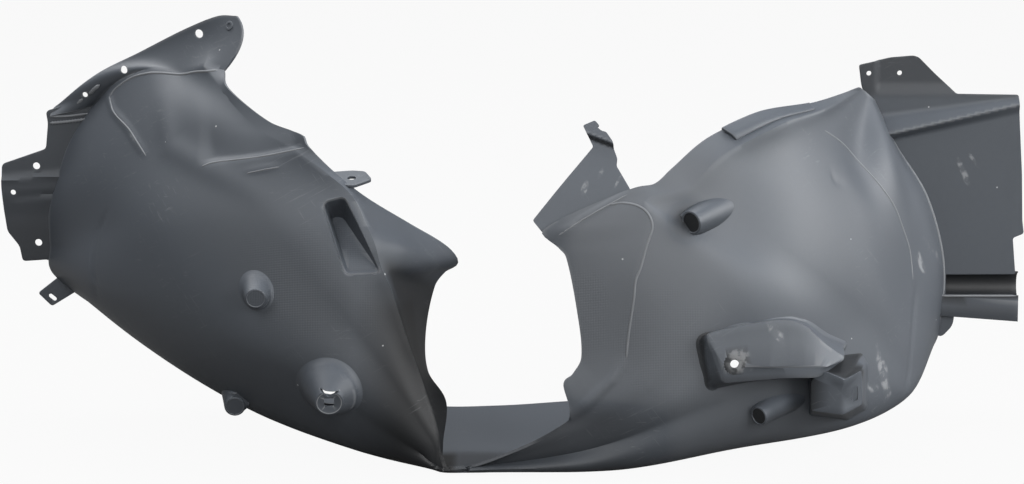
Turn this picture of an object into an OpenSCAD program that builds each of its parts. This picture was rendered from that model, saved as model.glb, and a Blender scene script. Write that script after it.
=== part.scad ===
// Front wheel arch liner, moulded in one piece: a thin wall that wraps round the wheel, a side wall with a
// wide gap for the strut, fixing flanges at both ends, hollow bosses, a ramped pocket and a hollow bracket.
// It lies on its crown. X runs along the arch, Y from the inner side to the fender side, Z up.

/* [Arch] */
// Length between the widest places of the arch
arch_length = 985; // [900:5:1060]
// Height of the arch from its crown to the top of its side wall
arch_height = 400; // [360:5:440]
// Depth from the fender edge to the inner side wall
arch_depth = 300; // [260:5:340]
// Thickness of the moulded wall
wall = 3; // [2.5:0.5:4]

/* [Flanges] */
// Width of the flange beyond the left end of the arch, at its middle
end_flange_width = 52; // [40:1:64]
// Length of the right panel beyond the arch
panel_length = 82; // [60:1:110]
// Depth of the stiffening swage across the right panel
swage_depth = 10; // [5:1:16]
// Radius of the rolled channel under the right panel
channel_r = 13; // [9:0.5:16]

/* [Holes] */
// Diameter of the clip holes
clip_hole_d = 8; // [6:0.5:10]
// Diameter of the small screw holes
screw_hole_d = 6; // [4:0.5:7]
// Diameter of the two screw holes in the right panel
panel_hole_d = 5.5; // [4:0.5:6.5]
// Diameter of the large locating hole in the end flange
locating_hole_d = 9; // [7:0.5:12]
// Width of the oval tab holes
tab_hole_w = 5; // [4:0.5:7]
// Length of the oval tab holes
tab_hole_l = 10; // [8:0.5:12]
// Side of the square hole in the large boss
square_hole = 10; // [7:0.5:12]

/* [Bosses] */
// Radius of the ends of the plain bosses
boss_tip_r = 11; // [8:0.5:13]
// Radius of the plain bosses where they leave the wall
boss_root_r = 15; // [14:0.5:19]
// Reach of the plain bosses beyond the wall
boss_reach = 24; // [16:1:34]
// Radius of the end of the large boss
cone_tip_r = 16; // [14:0.5:20]
// Radius of the large boss where it leaves the wall
cone_root_r = 31; // [26:0.5:36]
// Reach of the large boss beyond the wall
cone_reach = 34; // [26:1:42]

/* [Pocket and bracket] */
// Depth of the pocket at its deep end
pocket_depth = 36; // [24:1:44]
// Height of the bracket above the side wall
bracket_height = 34; // [26:1:44]
// Diameter of the screw hole in the bracket
bracket_hole_d = 8; // [6:0.5:10]

/* [Hidden] */
$fn = 36;

// Guide curves of the moulded surface. Each point is [station, x, y, z]: stations run from the left end to the
// right end of the arch, and each curve has points only where its shape needs them.
drawn = [985, 300, 400];
fender = [
    [0, -455, 150, 340], [1, -485, 150, 295], [2, -500, 150, 255], [3, -510, 150, 220],
    [4, -510, 150, 180], [5, -505, 150, 145], [6.5, -415, 150, 82], [8, -320, 150, 35],
    [9.5, -210, 150, 10], [11, -95, 150, -4], [12.5, -18, 150, -4], [14, 60, 150, 1], [15.5, 185, 150, 10],
    [17.3, 320, 150, 25], [18.6, 418, 150, 38], [19.4, 464, 150, 64], [20, 474, 150, 102],
    [21, 475, 150, 165], [22, 455, 150, 235], [23, 420, 150, 290], [24, 395, 150, 340]
];
shoulder = [
    [0, -425, 115, 370], [2, -450, 80, 280], [3.5, -445, 50, 220], [5, -442, 25, 156], [6, -382, -5, 101],
    [7.5, -275, -45, 43], [9, -170, -80, 10], [10.5, -90, -110, 0], [12.5, -40, -118, 0],
    [15, 110, -110, -4], [17, 235, -90, 13], [18.5, 350, -45, 23], [19.4, 415, 15, 38], [20, 430, 42, 65],
    [21, 430, 62, 135], [22, 420, 70, 215], [23, 408, 88, 282], [24, 390, 140, 345]
];
flank = [
    [0, -390, 85, 385], [2, -385, 25, 315], [4, -365, -50, 230], [6, -295, -115, 140], [8, -195, -140, 90],
    [10, -100, -140, 25], [12, -65, -132, 0], [14, 75, -130, 20], [16, 180, -145, 65],
    [18, 290, -114, 100], [20, 375, -22, 135], [21, 377, -8, 185], [22, 372, 18, 248], [23, 368, 62, 292],
    [24, 385, 135, 350]
];
haunch = [
    [0, -355, 60, 385], [2, -325, -15, 340], [4, -260, -95, 265], [6, -200, -135, 195],
    [8, -145, -145, 130], [10, -85, -142, 35], [12, -65, -137, 0], [14, 70, -135, 40], [16, 150, -148, 95],
    [18, 235, -137, 182], [20, 288, -92, 217], [21, 304, -54, 270], [22, 320, -6, 312], [23, 347, 55, 333],
    [24, 381, 130, 354]
];
ridge = [
    [0, -325, 30, 395], [2, -270, -48, 345], [3, -225, -85, 325], [4, -170, -108, 285],
    [5, -150, -125, 250], [6, -135, -135, 210], [7, -125, -135, 185], [8, -110, -135, 135],
    [9, -95, -132, 90], [10, -80, -138, 45], [11, -75, -140, 15], [12, -60, -140, 0], [13, 0, -138, 20],
    [14, 55, -135, 50], [15, 80, -138, 75], [16, 115, -140, 115], [17, 125, -140, 200],
    [18, 140, -130, 260], [19, 137, -121, 280], [20, 180, -111, 290], [21, 215, -95, 320],
    [22, 275, -50, 344], [23, 327, 26, 348], [24, 378, 125, 357]
];
edge = [
    [0, -304, 18, 392], [1, -297, -8, 377], [2, -254, -55, 351], [2.8, -215, -84, 340],
    [3, -210, -88, 330], [4, -165, -95, 285], [5, -110, -50, 240], [5.75, -71, -31, 212],
    [6, -60, -25, 196], [6.25, -73, -24, 187], [6.6, -85, -22, 170], [7.5, -95, -30, 121],
    [8.5, -92, -60, 85], [9.5, -72, -95, 60], [10.5, -75, -130, 25], [11.5, -70, -139, 0],
    [12.5, -15, -140, 15], [14, 55, -137, 50], [14.25, 58, -134, 66], [14.5, 52, -131, 89],
    [15, 62, -130, 100], [15.5, 71, -129, 118], [16.5, 66, -127, 167], [17.4, 55, -122, 220],
    [17.7, 47, -120, 230], [18, 31, -116, 247], [19, 120, -115, 289], [19.5, 144, -112, 294],
    [20, 161, -105, 308], [21, 195, -87, 334], [21.5, 222, -68, 345], [22, 255, -42, 354],
    [23, 320, 30, 356], [24, 376, 120, 360]
];
last_station = 24;
rows_per_station = 3;
cols_per_span = 4;

// Stretches a drawn place to the driving sizes
function at(p) = [p.x * arch_length / drawn.x, p.y * arch_depth / drawn.y, p.z * arch_height / drawn.z];

// Smooth curve through guide points, with u anywhere between the first and the last station
function span_of(g, u, i = 0) = i >= len(g) - 2 || u < g[i + 1][0] ? i : span_of(g, u, i + 1);
function place(k) = [k[1], k[2], k[3]];
function slope(g, i) =
    let (a = max(0, i - 1), b = min(len(g) - 1, i + 1)) (place(g[b]) - place(g[a])) / (g[b][0] - g[a][0]);
function hermite(p, m, q, n, t) =
    (2 * pow(t, 3) - 3 * t * t + 1) * p + (pow(t, 3) - 2 * t * t + t) * m
    + (3 * t * t - 2 * pow(t, 3)) * q + (pow(t, 3) - t * t) * n;
function on_guide(g, u) =
    let (i = span_of(g, u), h = g[i + 1][0] - g[i][0], t = (u - g[i][0]) / h)
    hermite(place(g[i]), slope(g, i) * h, place(g[i + 1]), slope(g, i + 1) * h, t);

// Smooth curve across the arch through a short list of places, with v counted in spans
function across(c, v) =
    let (i = min(len(c) - 2, floor(v)), t = v - i,
         before = i > 0 ? c[i - 1] : 2 * c[0] - c[1],
         after = i + 2 < len(c) ? c[i + 2] : 2 * c[len(c) - 1] - c[len(c) - 2])
    hermite(c[i], (c[i + 1] - before) / 2, c[i + 1], (after - c[i]) / 2, t);
function ribs(u) = [for (g = [fender, shoulder, flank, haunch, ridge]) on_guide(g, u)];
function skin_at(u, v) =
    at(v <= 4 ? across(ribs(u), v) : across([on_guide(ridge, u), on_guide(edge, u)], v - 4));
function section(u) = [for (j = [0:5 * cols_per_span]) skin_at(u, j / cols_per_span)];

// Normal of the surface, pointing to the outside of the arch
function unit(a) = a / norm(a);
function skin_normal(u, v) =
    let (e = 0.15, a = max(0, u - e), b = min(last_station, u + e), c = max(0, v - e), d = min(5, v + e))
    unit(cross(skin_at(b, v) - skin_at(a, v), skin_at(u, d) - skin_at(u, c)));

// Flange beyond the left end, drawn from the fold to its rim. Each point is [share of the fold, x, y, z].
rim = [
    [0, -508, 148, 322], [0.15, -498, 146, 336], [0.35, -450, 112, 373], [0.55, -400, 82, 403],
    [0.75, -345, 50, 434], [0.9, -310, 28, 449], [1, -289, 16, 451]
];
heel = [
    [0, -485, 148, 330], [0.15, -470, 138, 348], [0.35, -430, 105, 378], [0.55, -378, 76, 397],
    [0.75, -332, 47, 415], [0.9, -302, 24, 426], [1, -284, 13, 425]
];
flange_rows = 4;
drawn_flange = 52;
function flange_row(k) = [
    for (j = [0:5 * cols_per_span])
        let (s = j / (5 * cols_per_span), t = k / flange_rows, fold = skin_at(0, 5 * s),
             rim_p = at(on_guide(rim, s)), mid_p = at(on_guide(heel, s)),
             bowed = fold * (1 - t) * (1 - 2 * t) + mid_p * 4 * t * (1 - t) + rim_p * t * (2 * t - 1))
        fold + (bowed - fold) * end_flange_width / drawn_flange
];

// Closed wall from a grid of places on its outer face
function grid_normal(g, i, j) =
    let (a = g[max(0, i - 1)][j], b = g[min(len(g) - 1, i + 1)][j],
         c = g[i][max(0, j - 1)], d = g[i][min(len(g[0]) - 1, j + 1)])
    unit(cross(b - a, d - c));
module moulded_wall(g) {
    n = len(g);
    m = len(g[0]);
    outer = [for (i = [0:n - 1], j = [0:m - 1]) g[i][j]];
    inner = [for (i = [0:n - 1], j = [0:m - 1]) g[i][j] - wall * grid_normal(g, i, j)];
    far = n * m;
    function k(i, j) = i * m + j;
    tops = [for (i = [0:n - 2], j = [0:m - 2], half = [0, 1])
        half ? [k(i, j), k(i + 1, j + 1), k(i + 1, j)] : [k(i, j), k(i, j + 1), k(i + 1, j + 1)]];
    backs = [for (f = tops) [f[0] + far, f[2] + far, f[1] + far]];
    rim_loop = concat(
        [for (j = [0:m - 2]) k(0, j)], [for (i = [0:n - 2]) k(i, m - 1)],
        [for (j = [m - 1:-1:1]) k(n - 1, j)], [for (i = [n - 1:-1:1]) k(i, 0)]);
    sides = [for (s = [0:len(rim_loop) - 1], half = [0, 1])
        let (a = rim_loop[s], b = rim_loop[(s + 1) % len(rim_loop)])
        half ? [b, a, b + far] : [a, a + far, b + far]];
    polyhedron(points = concat(outer, inner), faces = concat(tops, backs, sides), convexity = 10);
}

module skin() {
    moulded_wall(concat(
        [for (k = [flange_rows:-1:1]) flange_row(k)],
        [for (i = [0:last_station * rows_per_station]) section(i / rows_per_station)]));
}

// Upright plates in the fender plane, as [x, z] outlines. Their inner side lies a little inside the fender edge.
plate_overlap = 6;
edge_steps = 8;
arch_heart = [0, 260];
fender_y = 150 * arch_depth / drawn.y;
function flat(p) = [p.x * arch_length / drawn.x, p.y * arch_height / drawn.z];
function along_fender(from, to) = [
    for (k = [0:edge_steps])
        let (p = at(on_guide(fender, from + (to - from) * k / edge_steps)), q = [p.x, p.z])
        q + plate_overlap * unit(flat(arch_heart) - q)
];
module fender_plate(outline) {
    translate([0, fender_y + wall / 3, 0]) rotate([90, 0, 0]) linear_extrude(wall) polygon(outline);
}
module fender_bore(q, d) {
    translate([q.x, fender_y, q.y]) rotate([90, 0, 0]) cylinder(d = d, h = 6 * wall, center = true);
}

// Left plate and the small tab under it
left_outline = [
    [-503, 143], [-508, 152], [-514, 163], [-543, 161], [-546, 178], [-559, 195], [-562, 218], [-564, 246],
    [-563, 270], [-514, 287], [-511, 316], [-513, 329], [-484, 338], [-452, 346]
];
left_edge = [0, 5];
left_holes = [[-525, 268, clip_hole_d], [-551, 239, screw_hole_d], [-525, 182, clip_hole_d]];
tab_outline = [[-504, 143], [-527, 125], [-512, 110], [-486, 126], [-478, 132], [-492, 148]];
tab_hole = [-511, 120];
tab_hole_turn = 40;
module left_plate() {
    difference() {
        fender_plate(concat([for (p = left_outline) flat(p)], along_fender(left_edge[0], left_edge[1])));
        for (h = left_holes) fender_bore(flat(h), h.z);
    }
}
module oval(l, w) {
    for (side = [-1, 1]) translate([side * (l - w) / 2, 0]) circle(d = w);
    square([l - w, w], center = true);
}
module left_tab() {
    q = flat(tab_hole);
    difference() {
        fender_plate([for (p = tab_outline) flat(p)]);
        translate([q.x, fender_y - 3 * wall, q.y]) rotate([-90, tab_hole_turn, 0])
            linear_extrude(6 * wall) oval(tab_hole_l, tab_hole_w);
    }
}

// Closed block between two rings of corners, each wound clockwise seen from the high ring's side
module drafted(low, high) {
    n = len(low);
    sides = [
        for (i = [0:n - 1], half = [0, 1])
            let (j = (i + 1) % n) half ? [i, n + j, n + i] : [i, j, n + j]
    ];
    caps = [for (i = [1:n - 2], top = [0, 1]) top ? [n, n + i, n + i + 1] : [0, i + 1, i]];
    polyhedron(points = concat(low, high), faces = concat(sides, caps), convexity = 4);
}

// Right panel with its screw tab, its tapering swage and the hooked end under it
channel_z = 134 * arch_height / drawn.z;
panel_from = 475;
drawn_panel = 82;
panel_outline = [
    [382, 358], [379, 380], [414, 388], [439, 390], [445, 388], [463, 370], [487, 348], [555, 347], [557, 315],
    [561, 259], [563, 207], [565, 192], [553, 187]
];
panel_edge = [20.6, 24];
channel_end = 560;
panel_foot = [[channel_end, 0], [470, 0]];
panel_holes = [[390, 371], [424, 371]];
hook_outline = [[462, 152], [478, 152], [478, 118], [486, 112], [475, 77], [462, 92]];
swage_root = [[396, 332], [552, 345], [553, 325], [412, 299]];
swage_crest = [[406, 326], [540, 340], [541, 332], [416, 309]];
function panelled(p) =
    flat([p.x <= panel_from ? p.x : panel_from + (p.x - panel_from) * panel_length / drawn_panel, p.y]);
function on_panel(c, y) = [for (p = c) let (q = panelled(p)) [q.x, y, q.y]];
module swage(back) {
    drafted(on_panel(swage_root, fender_y + back), on_panel(swage_crest, fender_y - swage_depth + back));
}
module right_panel() {
    difference() {
        union() {
            fender_plate(concat(
                [for (p = panel_outline) panelled(p)],
                [for (p = panel_foot) [panelled(p).x, channel_z + channel_r - wall / 2]],
                along_fender(panel_edge[0], panel_edge[1])));
            fender_plate([for (p = hook_outline) panelled(p)]);
            swage(0);
        }
        swage(wall);
        for (h = panel_holes) fender_bore(panelled(h), panel_hole_d);
    }
}

// Rolled channel below the panel: a half round that opens to the inner side, with a hanging lip
lip_drop = 24;
lip_lean = 8;
module channel() {
    from = panelled([panel_from, 0]).x - plate_overlap;
    to = panelled([channel_end, 0]).x;
    translate([from, fender_y, channel_z]) rotate([90, 0, 90]) linear_extrude(to - from) {
        difference() {
            circle(channel_r);
            circle(channel_r - wall);
            translate([-4 * channel_r, -2 * channel_r]) square(4 * channel_r);
        }
        translate([-lip_lean, -channel_r]) square([lip_lean + 1, wall]);
        polygon([
            [-lip_lean, wall - channel_r], [-lip_lean, -channel_r - lip_drop],
            [-lip_lean - wall, -channel_r - lip_drop], [-lip_lean - wall, wall - channel_r]
        ]);
    }
}

// Tab behind the free edge of the left side wall
back_tab_lean = 14;
back_tab_at = [3.8, 4.9];
back_tab_outline = [[-24, -2], [-14, 26], [9, 30], [22, 28], [30, 8], [12, -8]];
back_tab_hole = [9, 11];
module back_tab() {
    translate(skin_at(back_tab_at[0], back_tab_at[1])) rotate([back_tab_lean, 0, 0]) translate([0, 0, -wall]) difference() {
        linear_extrude(wall) polygon(back_tab_outline);
        translate(back_tab_hole) cylinder(d = locating_hole_d, h = 6 * wall, center = true);
    }
}

// Upper leaf beside the strut gap, which carries on the wall beyond its crease, with a notched clip end
leaf_turn = -13;
leaf_lean = 28;
leaf_at = [18, 5];
leaf_outline = [
    [1, -4], [-12, 10], [43, 92], [31, 113], [43, 119], [48, 114], [46, 112], [56, 107], [64, 97], [69, 81],
    [69, 73], [86, 48], [87, 43]
];
module leaf() {
    translate(skin_at(leaf_at[0], leaf_at[1])) rotate([0, 0, leaf_turn]) rotate([90 - leaf_lean, 0, 0])
        translate([0, 0, -wall]) linear_extrude(wall) polygon(leaf_outline);
}

// Hollow bosses. Each is [station, span, way it points, how far its foot is sunk].
left_draw = [0.04, -1, -0.22];
right_draw = [-0.62, -1, -0.2];
plain_bosses = [
    [5.5, 2.5, left_draw, 16], [7.2, 1.05, left_draw, 26], [19.6, 3.7, right_draw, 26], [17.7, 1.7, right_draw, 18]
];
cone_boss = [8.2, 1.95, left_draw, 24];
module facing(way) {
    w = unit(way);
    rotate([0, acos(w.z), atan2(w.y, w.x)]) children();
}
module on_skin(boss) {
    translate(skin_at(boss[0], boss[1])) facing(boss[2]) children();
}
// The outside of a boss, or its hollow when less is the wall
module boss(root_r, tip_r, reach, foot, less) {
    sink = foot + less / 3;
    grow = (root_r - tip_r) * sink / reach;
    translate([0, 0, -sink]) cylinder(r1 = root_r + grow - less, r2 = tip_r - less, h = sink + reach - less);
}

// Rings of corners on the wall, each corner as [station, span]
function ring_on_skin(c, inward) = [for (p = c) skin_at(p[0], p[1]) - inward * skin_normal(p[0], p[1])];
function middle(ring, i = 0) = i == len(ring) ? [0, 0, 0] : ring[i] / len(ring) + middle(ring, i + 1);
function grown(ring, by) =
    let (m = middle(ring)) [for (p = ring) p + by * unit([p.x - m.x, 0, p.z - m.z])];
function moved(ring, by) = [for (p = ring) p + by];

// Ramped pocket beside the ridge, deep at its top and level with the wall at its foot
pocket_mouth = [[4.1, 3.68], [4.2, 3.88], [5.9, 3.86], [6, 3.4]];
pocket_share = [1, 1, 0.15, 0.15];
pocket_drop = [0, 0, 1, 1];
pocket_flare = 0.3;
ramp_top_drop = 26;
function pocket_floor(deeper) =
    let (ring = ring_on_skin(pocket_mouth, wall / 2))
    [
        for (i = [0:3])
            ring[i] + [0, pocket_share[i] * pocket_depth + deeper, -ramp_top_drop * (1 - pocket_drop[i])]
    ];
module pocket_outside() {
    drafted(grown(pocket_floor(2 * wall), wall), grown(ring_on_skin(pocket_mouth, wall / 2), wall));
}
module pocket_hollow() {
    mouth = ring_on_skin(pocket_mouth, wall / 2);
    foot = pocket_floor(0);
    drafted(foot, [for (i = [0:3]) mouth[i] + pocket_flare * (mouth[i] - foot[i]) - [0, 3 * wall, 0]]);
}

// Raised hollow bracket: a wide drafted block with a screw face, and a smaller end box with an upright slot
bracket_root = [[17.1, 3], [18.2, 2.6], [18.8, 2.5], [19, 1.9], [18.4, 1.55], [16.6, 2.15]];
bracket_face = [
    [202, -172, 142], [262, -166, 162], [292, -156, 156], [317, -146, 126], [315, -150, 101], [211, -172, 98]
];
box_root = [[18.6, 2.1], [19.4, 1.7], [19, 1.2], [18, 0.9]];
box_face = [[322, -158, 114], [342, -154, 112], [343, -154, 66], [321, -158, 68]];
bracket_seat = [224, -165, 117];
seat_r = 12;
seat_depth = 6;
box_slot = [351, -152, 86];
slot_w = 7;
slot_h = 18;
drawn_bracket = 34;
hollow_tail = 0.2;
module raised(root, face, less) {
    low = ring_on_skin(root, wall / 2);
    high = moved([for (p = face) at(p)], [0, drawn_bracket - bracket_height + less, 0]);
    tail = less > 0 ? hollow_tail : 0;
    drafted(grown([for (i = [0:len(low) - 1]) low[i] + tail * (low[i] - high[i])], -less), grown(high, -less));
}
// Round tool along Y that starts at the screw seat: the seat's cup, its recess or its bore
module at_seat(r, front, back) {
    translate(at(bracket_seat)) rotate([-90, 0, 0]) translate([0, 0, -front]) cylinder(r = r, h = front + back);
}

// The part stands on its lowest place, with the middle of its length and of its depth over the origin
skin_grid = [for (i = [0:last_station * rows_per_station]) each section(i / rows_per_station)];
left_reach = min([for (p = left_outline) flat(p).x]);
right_reach = max([for (p = panel_outline) panelled(p).x]);
cone_way = unit(left_draw);
front_reach = skin_at(cone_boss[0], cone_boss[1]).y + cone_reach * cone_way.y
    - cone_tip_r * norm([cone_way.x, cone_way.z]);
back_reach = fender_y + channel_r;
settle = [
    -(left_reach + right_reach) / 2, -(front_reach + back_reach) / 2, -min([for (p = skin_grid) p.z])
];

module moulding() {
    difference() {
        union() {
            skin();
            left_plate();
            left_tab();
            right_panel();
            channel();
            back_tab();
            leaf();
            pocket_outside();
            for (b = plain_bosses) on_skin(b) boss(boss_root_r, boss_tip_r, boss_reach, b[3], 0);
            on_skin(cone_boss) boss(cone_root_r, cone_tip_r, cone_reach, cone_boss[3], 0);
            raised(bracket_root, bracket_face, 0);
            raised(box_root, box_face, 0);
        }
        pocket_hollow();
        for (b = plain_bosses) on_skin(b) boss(boss_root_r, boss_tip_r, boss_reach, b[3], wall);
        on_skin(cone_boss) {
            boss(cone_root_r, cone_tip_r, cone_reach, cone_boss[3], wall);
            translate([0, 0, cone_reach]) cube([square_hole, square_hole, 6 * wall], center = true);
        }
        difference() {
            raised(bracket_root, bracket_face, wall);
            at_seat(seat_r + wall, 2 * seat_depth, wall);
        }
        raised(box_root, box_face, wall);
        at_seat(seat_r, 2 * seat_depth, 0);
        at_seat(bracket_hole_d / 2, wall, 3 * wall);
        translate(at(box_slot)) cube([slot_w, 10 * wall, slot_h], center = true);
        for (h = flange_holes) flange_bore(h);
    }
}

// Holes through the end flange, each as [x, z, diameter]
flange_holes = [
    [-335, 426, locating_hole_d], [-421, 381, clip_hole_d], [-468, 349, screw_hole_d]
];
module flange_bore(h) {
    q = flat(h);
    translate([q.x, fender_y, q.y]) rotate([90, 0, 0]) cylinder(d = h.z, h = arch_depth);
}

module wheel_arch_liner() {
    color("#2e3133") translate(settle) moulding();
}

wheel_arch_liner();
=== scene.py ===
"""The looks of a front wheel arch liner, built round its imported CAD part.

Every length below is in millimetres until a mesh is made, as in the part's own drawing, and every mesh is in
metres in the part's frame. X runs along the arch, Y from the side wall to the fender side, and Z up.
"""

import logging
import math
from collections.abc import Callable, Sequence
from dataclasses import dataclass, field
from enum import Enum

import bmesh
import bpy
import numpy as np
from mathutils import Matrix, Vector


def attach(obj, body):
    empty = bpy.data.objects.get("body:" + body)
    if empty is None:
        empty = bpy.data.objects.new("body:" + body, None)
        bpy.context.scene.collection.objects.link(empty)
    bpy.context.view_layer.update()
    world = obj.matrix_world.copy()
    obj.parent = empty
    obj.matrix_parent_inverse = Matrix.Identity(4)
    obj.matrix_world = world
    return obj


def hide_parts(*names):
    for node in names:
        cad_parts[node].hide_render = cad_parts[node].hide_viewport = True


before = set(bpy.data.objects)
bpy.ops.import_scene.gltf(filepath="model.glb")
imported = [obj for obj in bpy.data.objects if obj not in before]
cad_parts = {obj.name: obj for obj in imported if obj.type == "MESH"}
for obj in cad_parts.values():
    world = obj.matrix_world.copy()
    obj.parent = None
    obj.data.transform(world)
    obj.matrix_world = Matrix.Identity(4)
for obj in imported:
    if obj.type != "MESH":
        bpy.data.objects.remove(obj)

LOG = logging.getLogger("wheel_arch_liner")
NODE = "wheel_arch_liner"
MM = 0.001
SETTLE = np.array([-0.5, 6.307, 5.609])
WALL = 3.0
LAST_STATION = 24.0
MERGE = 0.00002
NUDGE = 0.001
FRONT = (0.0, -1.0, 0.0)
Row = tuple[float, float, float, float]
Pair = tuple[float, float]


class Span(Enum):
    """The guide curves of the moulded surface, numbered from the fender edge to the strut gap."""

    FENDER = 0
    SHOULDER = 1
    FLANK = 2
    HAUNCH = 3
    RIDGE = 4
    EDGE = 5


@dataclass(frozen=True)
class Guide:
    """One guide curve, drawn as a few stations with their places in millimetres."""

    rows: tuple[Row, ...]

    def at(self, u: np.ndarray) -> np.ndarray:
        """Gives the places of the curve at some stations.

        Args:
            u: The stations, in any number.

        Returns:
            One place for each station, in millimetres.
        """
        table = np.array(self.rows)
        station, place = table[:, 0], table[:, 1:]
        last = len(station) - 1
        back = np.maximum(np.arange(last + 1) - 1, 0)
        ahead = np.minimum(np.arange(last + 1) + 1, last)
        slope = (place[ahead] - place[back]) / (station[ahead] - station[back])[:, None]
        i = np.clip(np.searchsorted(station, u, side="right") - 1, 0, last - 1)
        gap = (station[i + 1] - station[i])[:, None]
        t = ((u - station[i]) / gap[:, 0])[:, None]
        return hermite(place[i], slope[i] * gap, place[i + 1], slope[i + 1] * gap, t)


def hermite(p: np.ndarray, m: np.ndarray, q: np.ndarray, n: np.ndarray, t: np.ndarray) -> np.ndarray:
    """Joins two places by a smooth cubic.

    Args:
        p: The first place.
        m: The slope there.
        q: The second place.
        n: The slope there.
        t: How far along, from 0 to 1.

    Returns:
        The places between them.
    """
    return (
        (2 * t**3 - 3 * t**2 + 1) * p
        + (t**3 - 2 * t**2 + t) * m
        + (3 * t**2 - 2 * t**3) * q
        + (t**3 - t**2) * n
    )


def ease(value: np.ndarray) -> np.ndarray:
    """Eases from 0 to 1 while its argument goes from 0 to 1."""
    t = np.clip(value, 0, 1)
    return t * t * (3 - 2 * t)


def unit(a: np.ndarray) -> np.ndarray:
    """Scales vectors to length one."""
    return a / np.maximum(np.linalg.norm(a, axis=-1, keepdims=True), 1e-9)


GUIDES: dict[Span, Guide] = {
    Span.FENDER: Guide((
        (0, -455, 150, 340), (1, -485, 150, 295), (2, -500, 150, 255), (3, -510, 150, 220),
        (4, -510, 150, 180), (5, -505, 150, 145), (6.5, -415, 150, 82), (8, -320, 150, 35),
        (9.5, -210, 150, 10), (11, -95, 150, -4), (12.5, -18, 150, -4), (14, 60, 150, 1),
        (15.5, 185, 150, 10), (17.3, 320, 150, 25), (18.6, 418, 150, 38), (19.4, 464, 150, 64),
        (20, 474, 150, 102), (21, 475, 150, 165), (22, 455, 150, 235), (23, 420, 150, 290),
        (24, 395, 150, 340),
    )),
    Span.SHOULDER: Guide((
        (0, -425, 115, 370), (2, -450, 80, 280), (3.5, -445, 50, 220), (5, -442, 25, 156),
        (6, -382, -5, 101), (7.5, -275, -45, 43), (9, -170, -80, 10), (10.5, -90, -110, 0),
        (12.5, -40, -118, 0), (15, 110, -110, -4), (17, 235, -90, 13), (18.5, 350, -45, 23),
        (19.4, 415, 15, 38), (20, 430, 42, 65), (21, 430, 62, 135), (22, 420, 70, 215), (23, 408, 88, 282),
        (24, 390, 140, 345),
    )),
    Span.FLANK: Guide((
        (0, -390, 85, 385), (2, -385, 25, 315), (4, -365, -50, 230), (6, -295, -115, 140),
        (8, -195, -140, 90), (10, -100, -140, 25), (12, -65, -132, 0), (14, 75, -130, 20),
        (16, 180, -145, 65), (18, 290, -114, 100), (20, 375, -22, 135), (21, 377, -8, 185),
        (22, 372, 18, 248), (23, 368, 62, 292), (24, 385, 135, 350),
    )),
    Span.HAUNCH: Guide((
        (0, -355, 60, 385), (2, -325, -15, 340), (4, -260, -95, 265), (6, -200, -135, 195),
        (8, -145, -145, 130), (10, -85, -142, 35), (12, -65, -137, 0), (14, 70, -135, 40),
        (16, 150, -148, 95), (18, 235, -137, 182), (20, 288, -92, 217), (21, 304, -54, 270),
        (22, 320, -6, 312), (23, 347, 55, 333), (24, 381, 130, 354),
    )),
    Span.RIDGE: Guide((
        (0, -325, 30, 395), (2, -270, -48, 345), (3, -225, -85, 325), (4, -170, -108, 285),
        (5, -150, -125, 250), (6, -135, -135, 210), (7, -125, -135, 185), (8, -110, -135, 135),
        (9, -95, -132, 90), (10, -80, -138, 45), (11, -75, -140, 15), (12, -60, -140, 0),
        (13, 0, -138, 20), (14, 55, -135, 50), (15, 80, -138, 75), (16, 115, -140, 115),
        (17, 125, -140, 200), (18, 140, -130, 260), (19, 137, -121, 280), (20, 180, -111, 290),
        (21, 215, -95, 320), (22, 275, -50, 344), (23, 327, 26, 348), (24, 378, 125, 357),
    )),
    Span.EDGE: Guide((
        (0, -304, 18, 392), (1, -297, -8, 377), (2, -254, -55, 351), (2.8, -215, -84, 340),
        (3, -210, -88, 330), (4, -165, -95, 285), (5, -110, -50, 240), (5.75, -71, -31, 212),
        (6, -60, -25, 196), (6.25, -73, -24, 187), (6.6, -85, -22, 170), (7.5, -95, -30, 121),
        (8.5, -92, -60, 85), (9.5, -72, -95, 60), (10.5, -75, -130, 25), (11.5, -70, -139, 0),
        (12.5, -15, -140, 15), (14, 55, -137, 50), (14.25, 58, -134, 66), (14.5, 52, -131, 89),
        (15, 62, -130, 100), (15.5, 71, -129, 118), (16.5, 66, -127, 167), (17.4, 55, -122, 220),
        (17.7, 47, -120, 230), (18, 31, -116, 247), (19, 120, -115, 289), (19.5, 144, -112, 294),
        (20, 161, -105, 308), (21, 195, -87, 334), (21.5, 222, -68, 345), (22, 255, -42, 354),
        (23, 320, 30, 356), (24, 376, 120, 360),
    )),
}

RIM = Guide((
    (0, -508, 148, 322), (0.15, -499, 154, 335), (0.35, -453, 134, 370), (0.55, -403, 109, 399),
    (0.75, -348, 77, 430), (0.9, -312, 53, 446), (1, -291, 38, 448),
))
HEEL = Guide((
    (0, -485, 148, 330), (0.15, -471, 142, 347), (0.35, -431, 115, 377), (0.55, -379, 88, 395),
    (0.75, -333, 59, 413), (0.9, -303, 36, 424), (1, -285, 23, 424),
))


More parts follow.
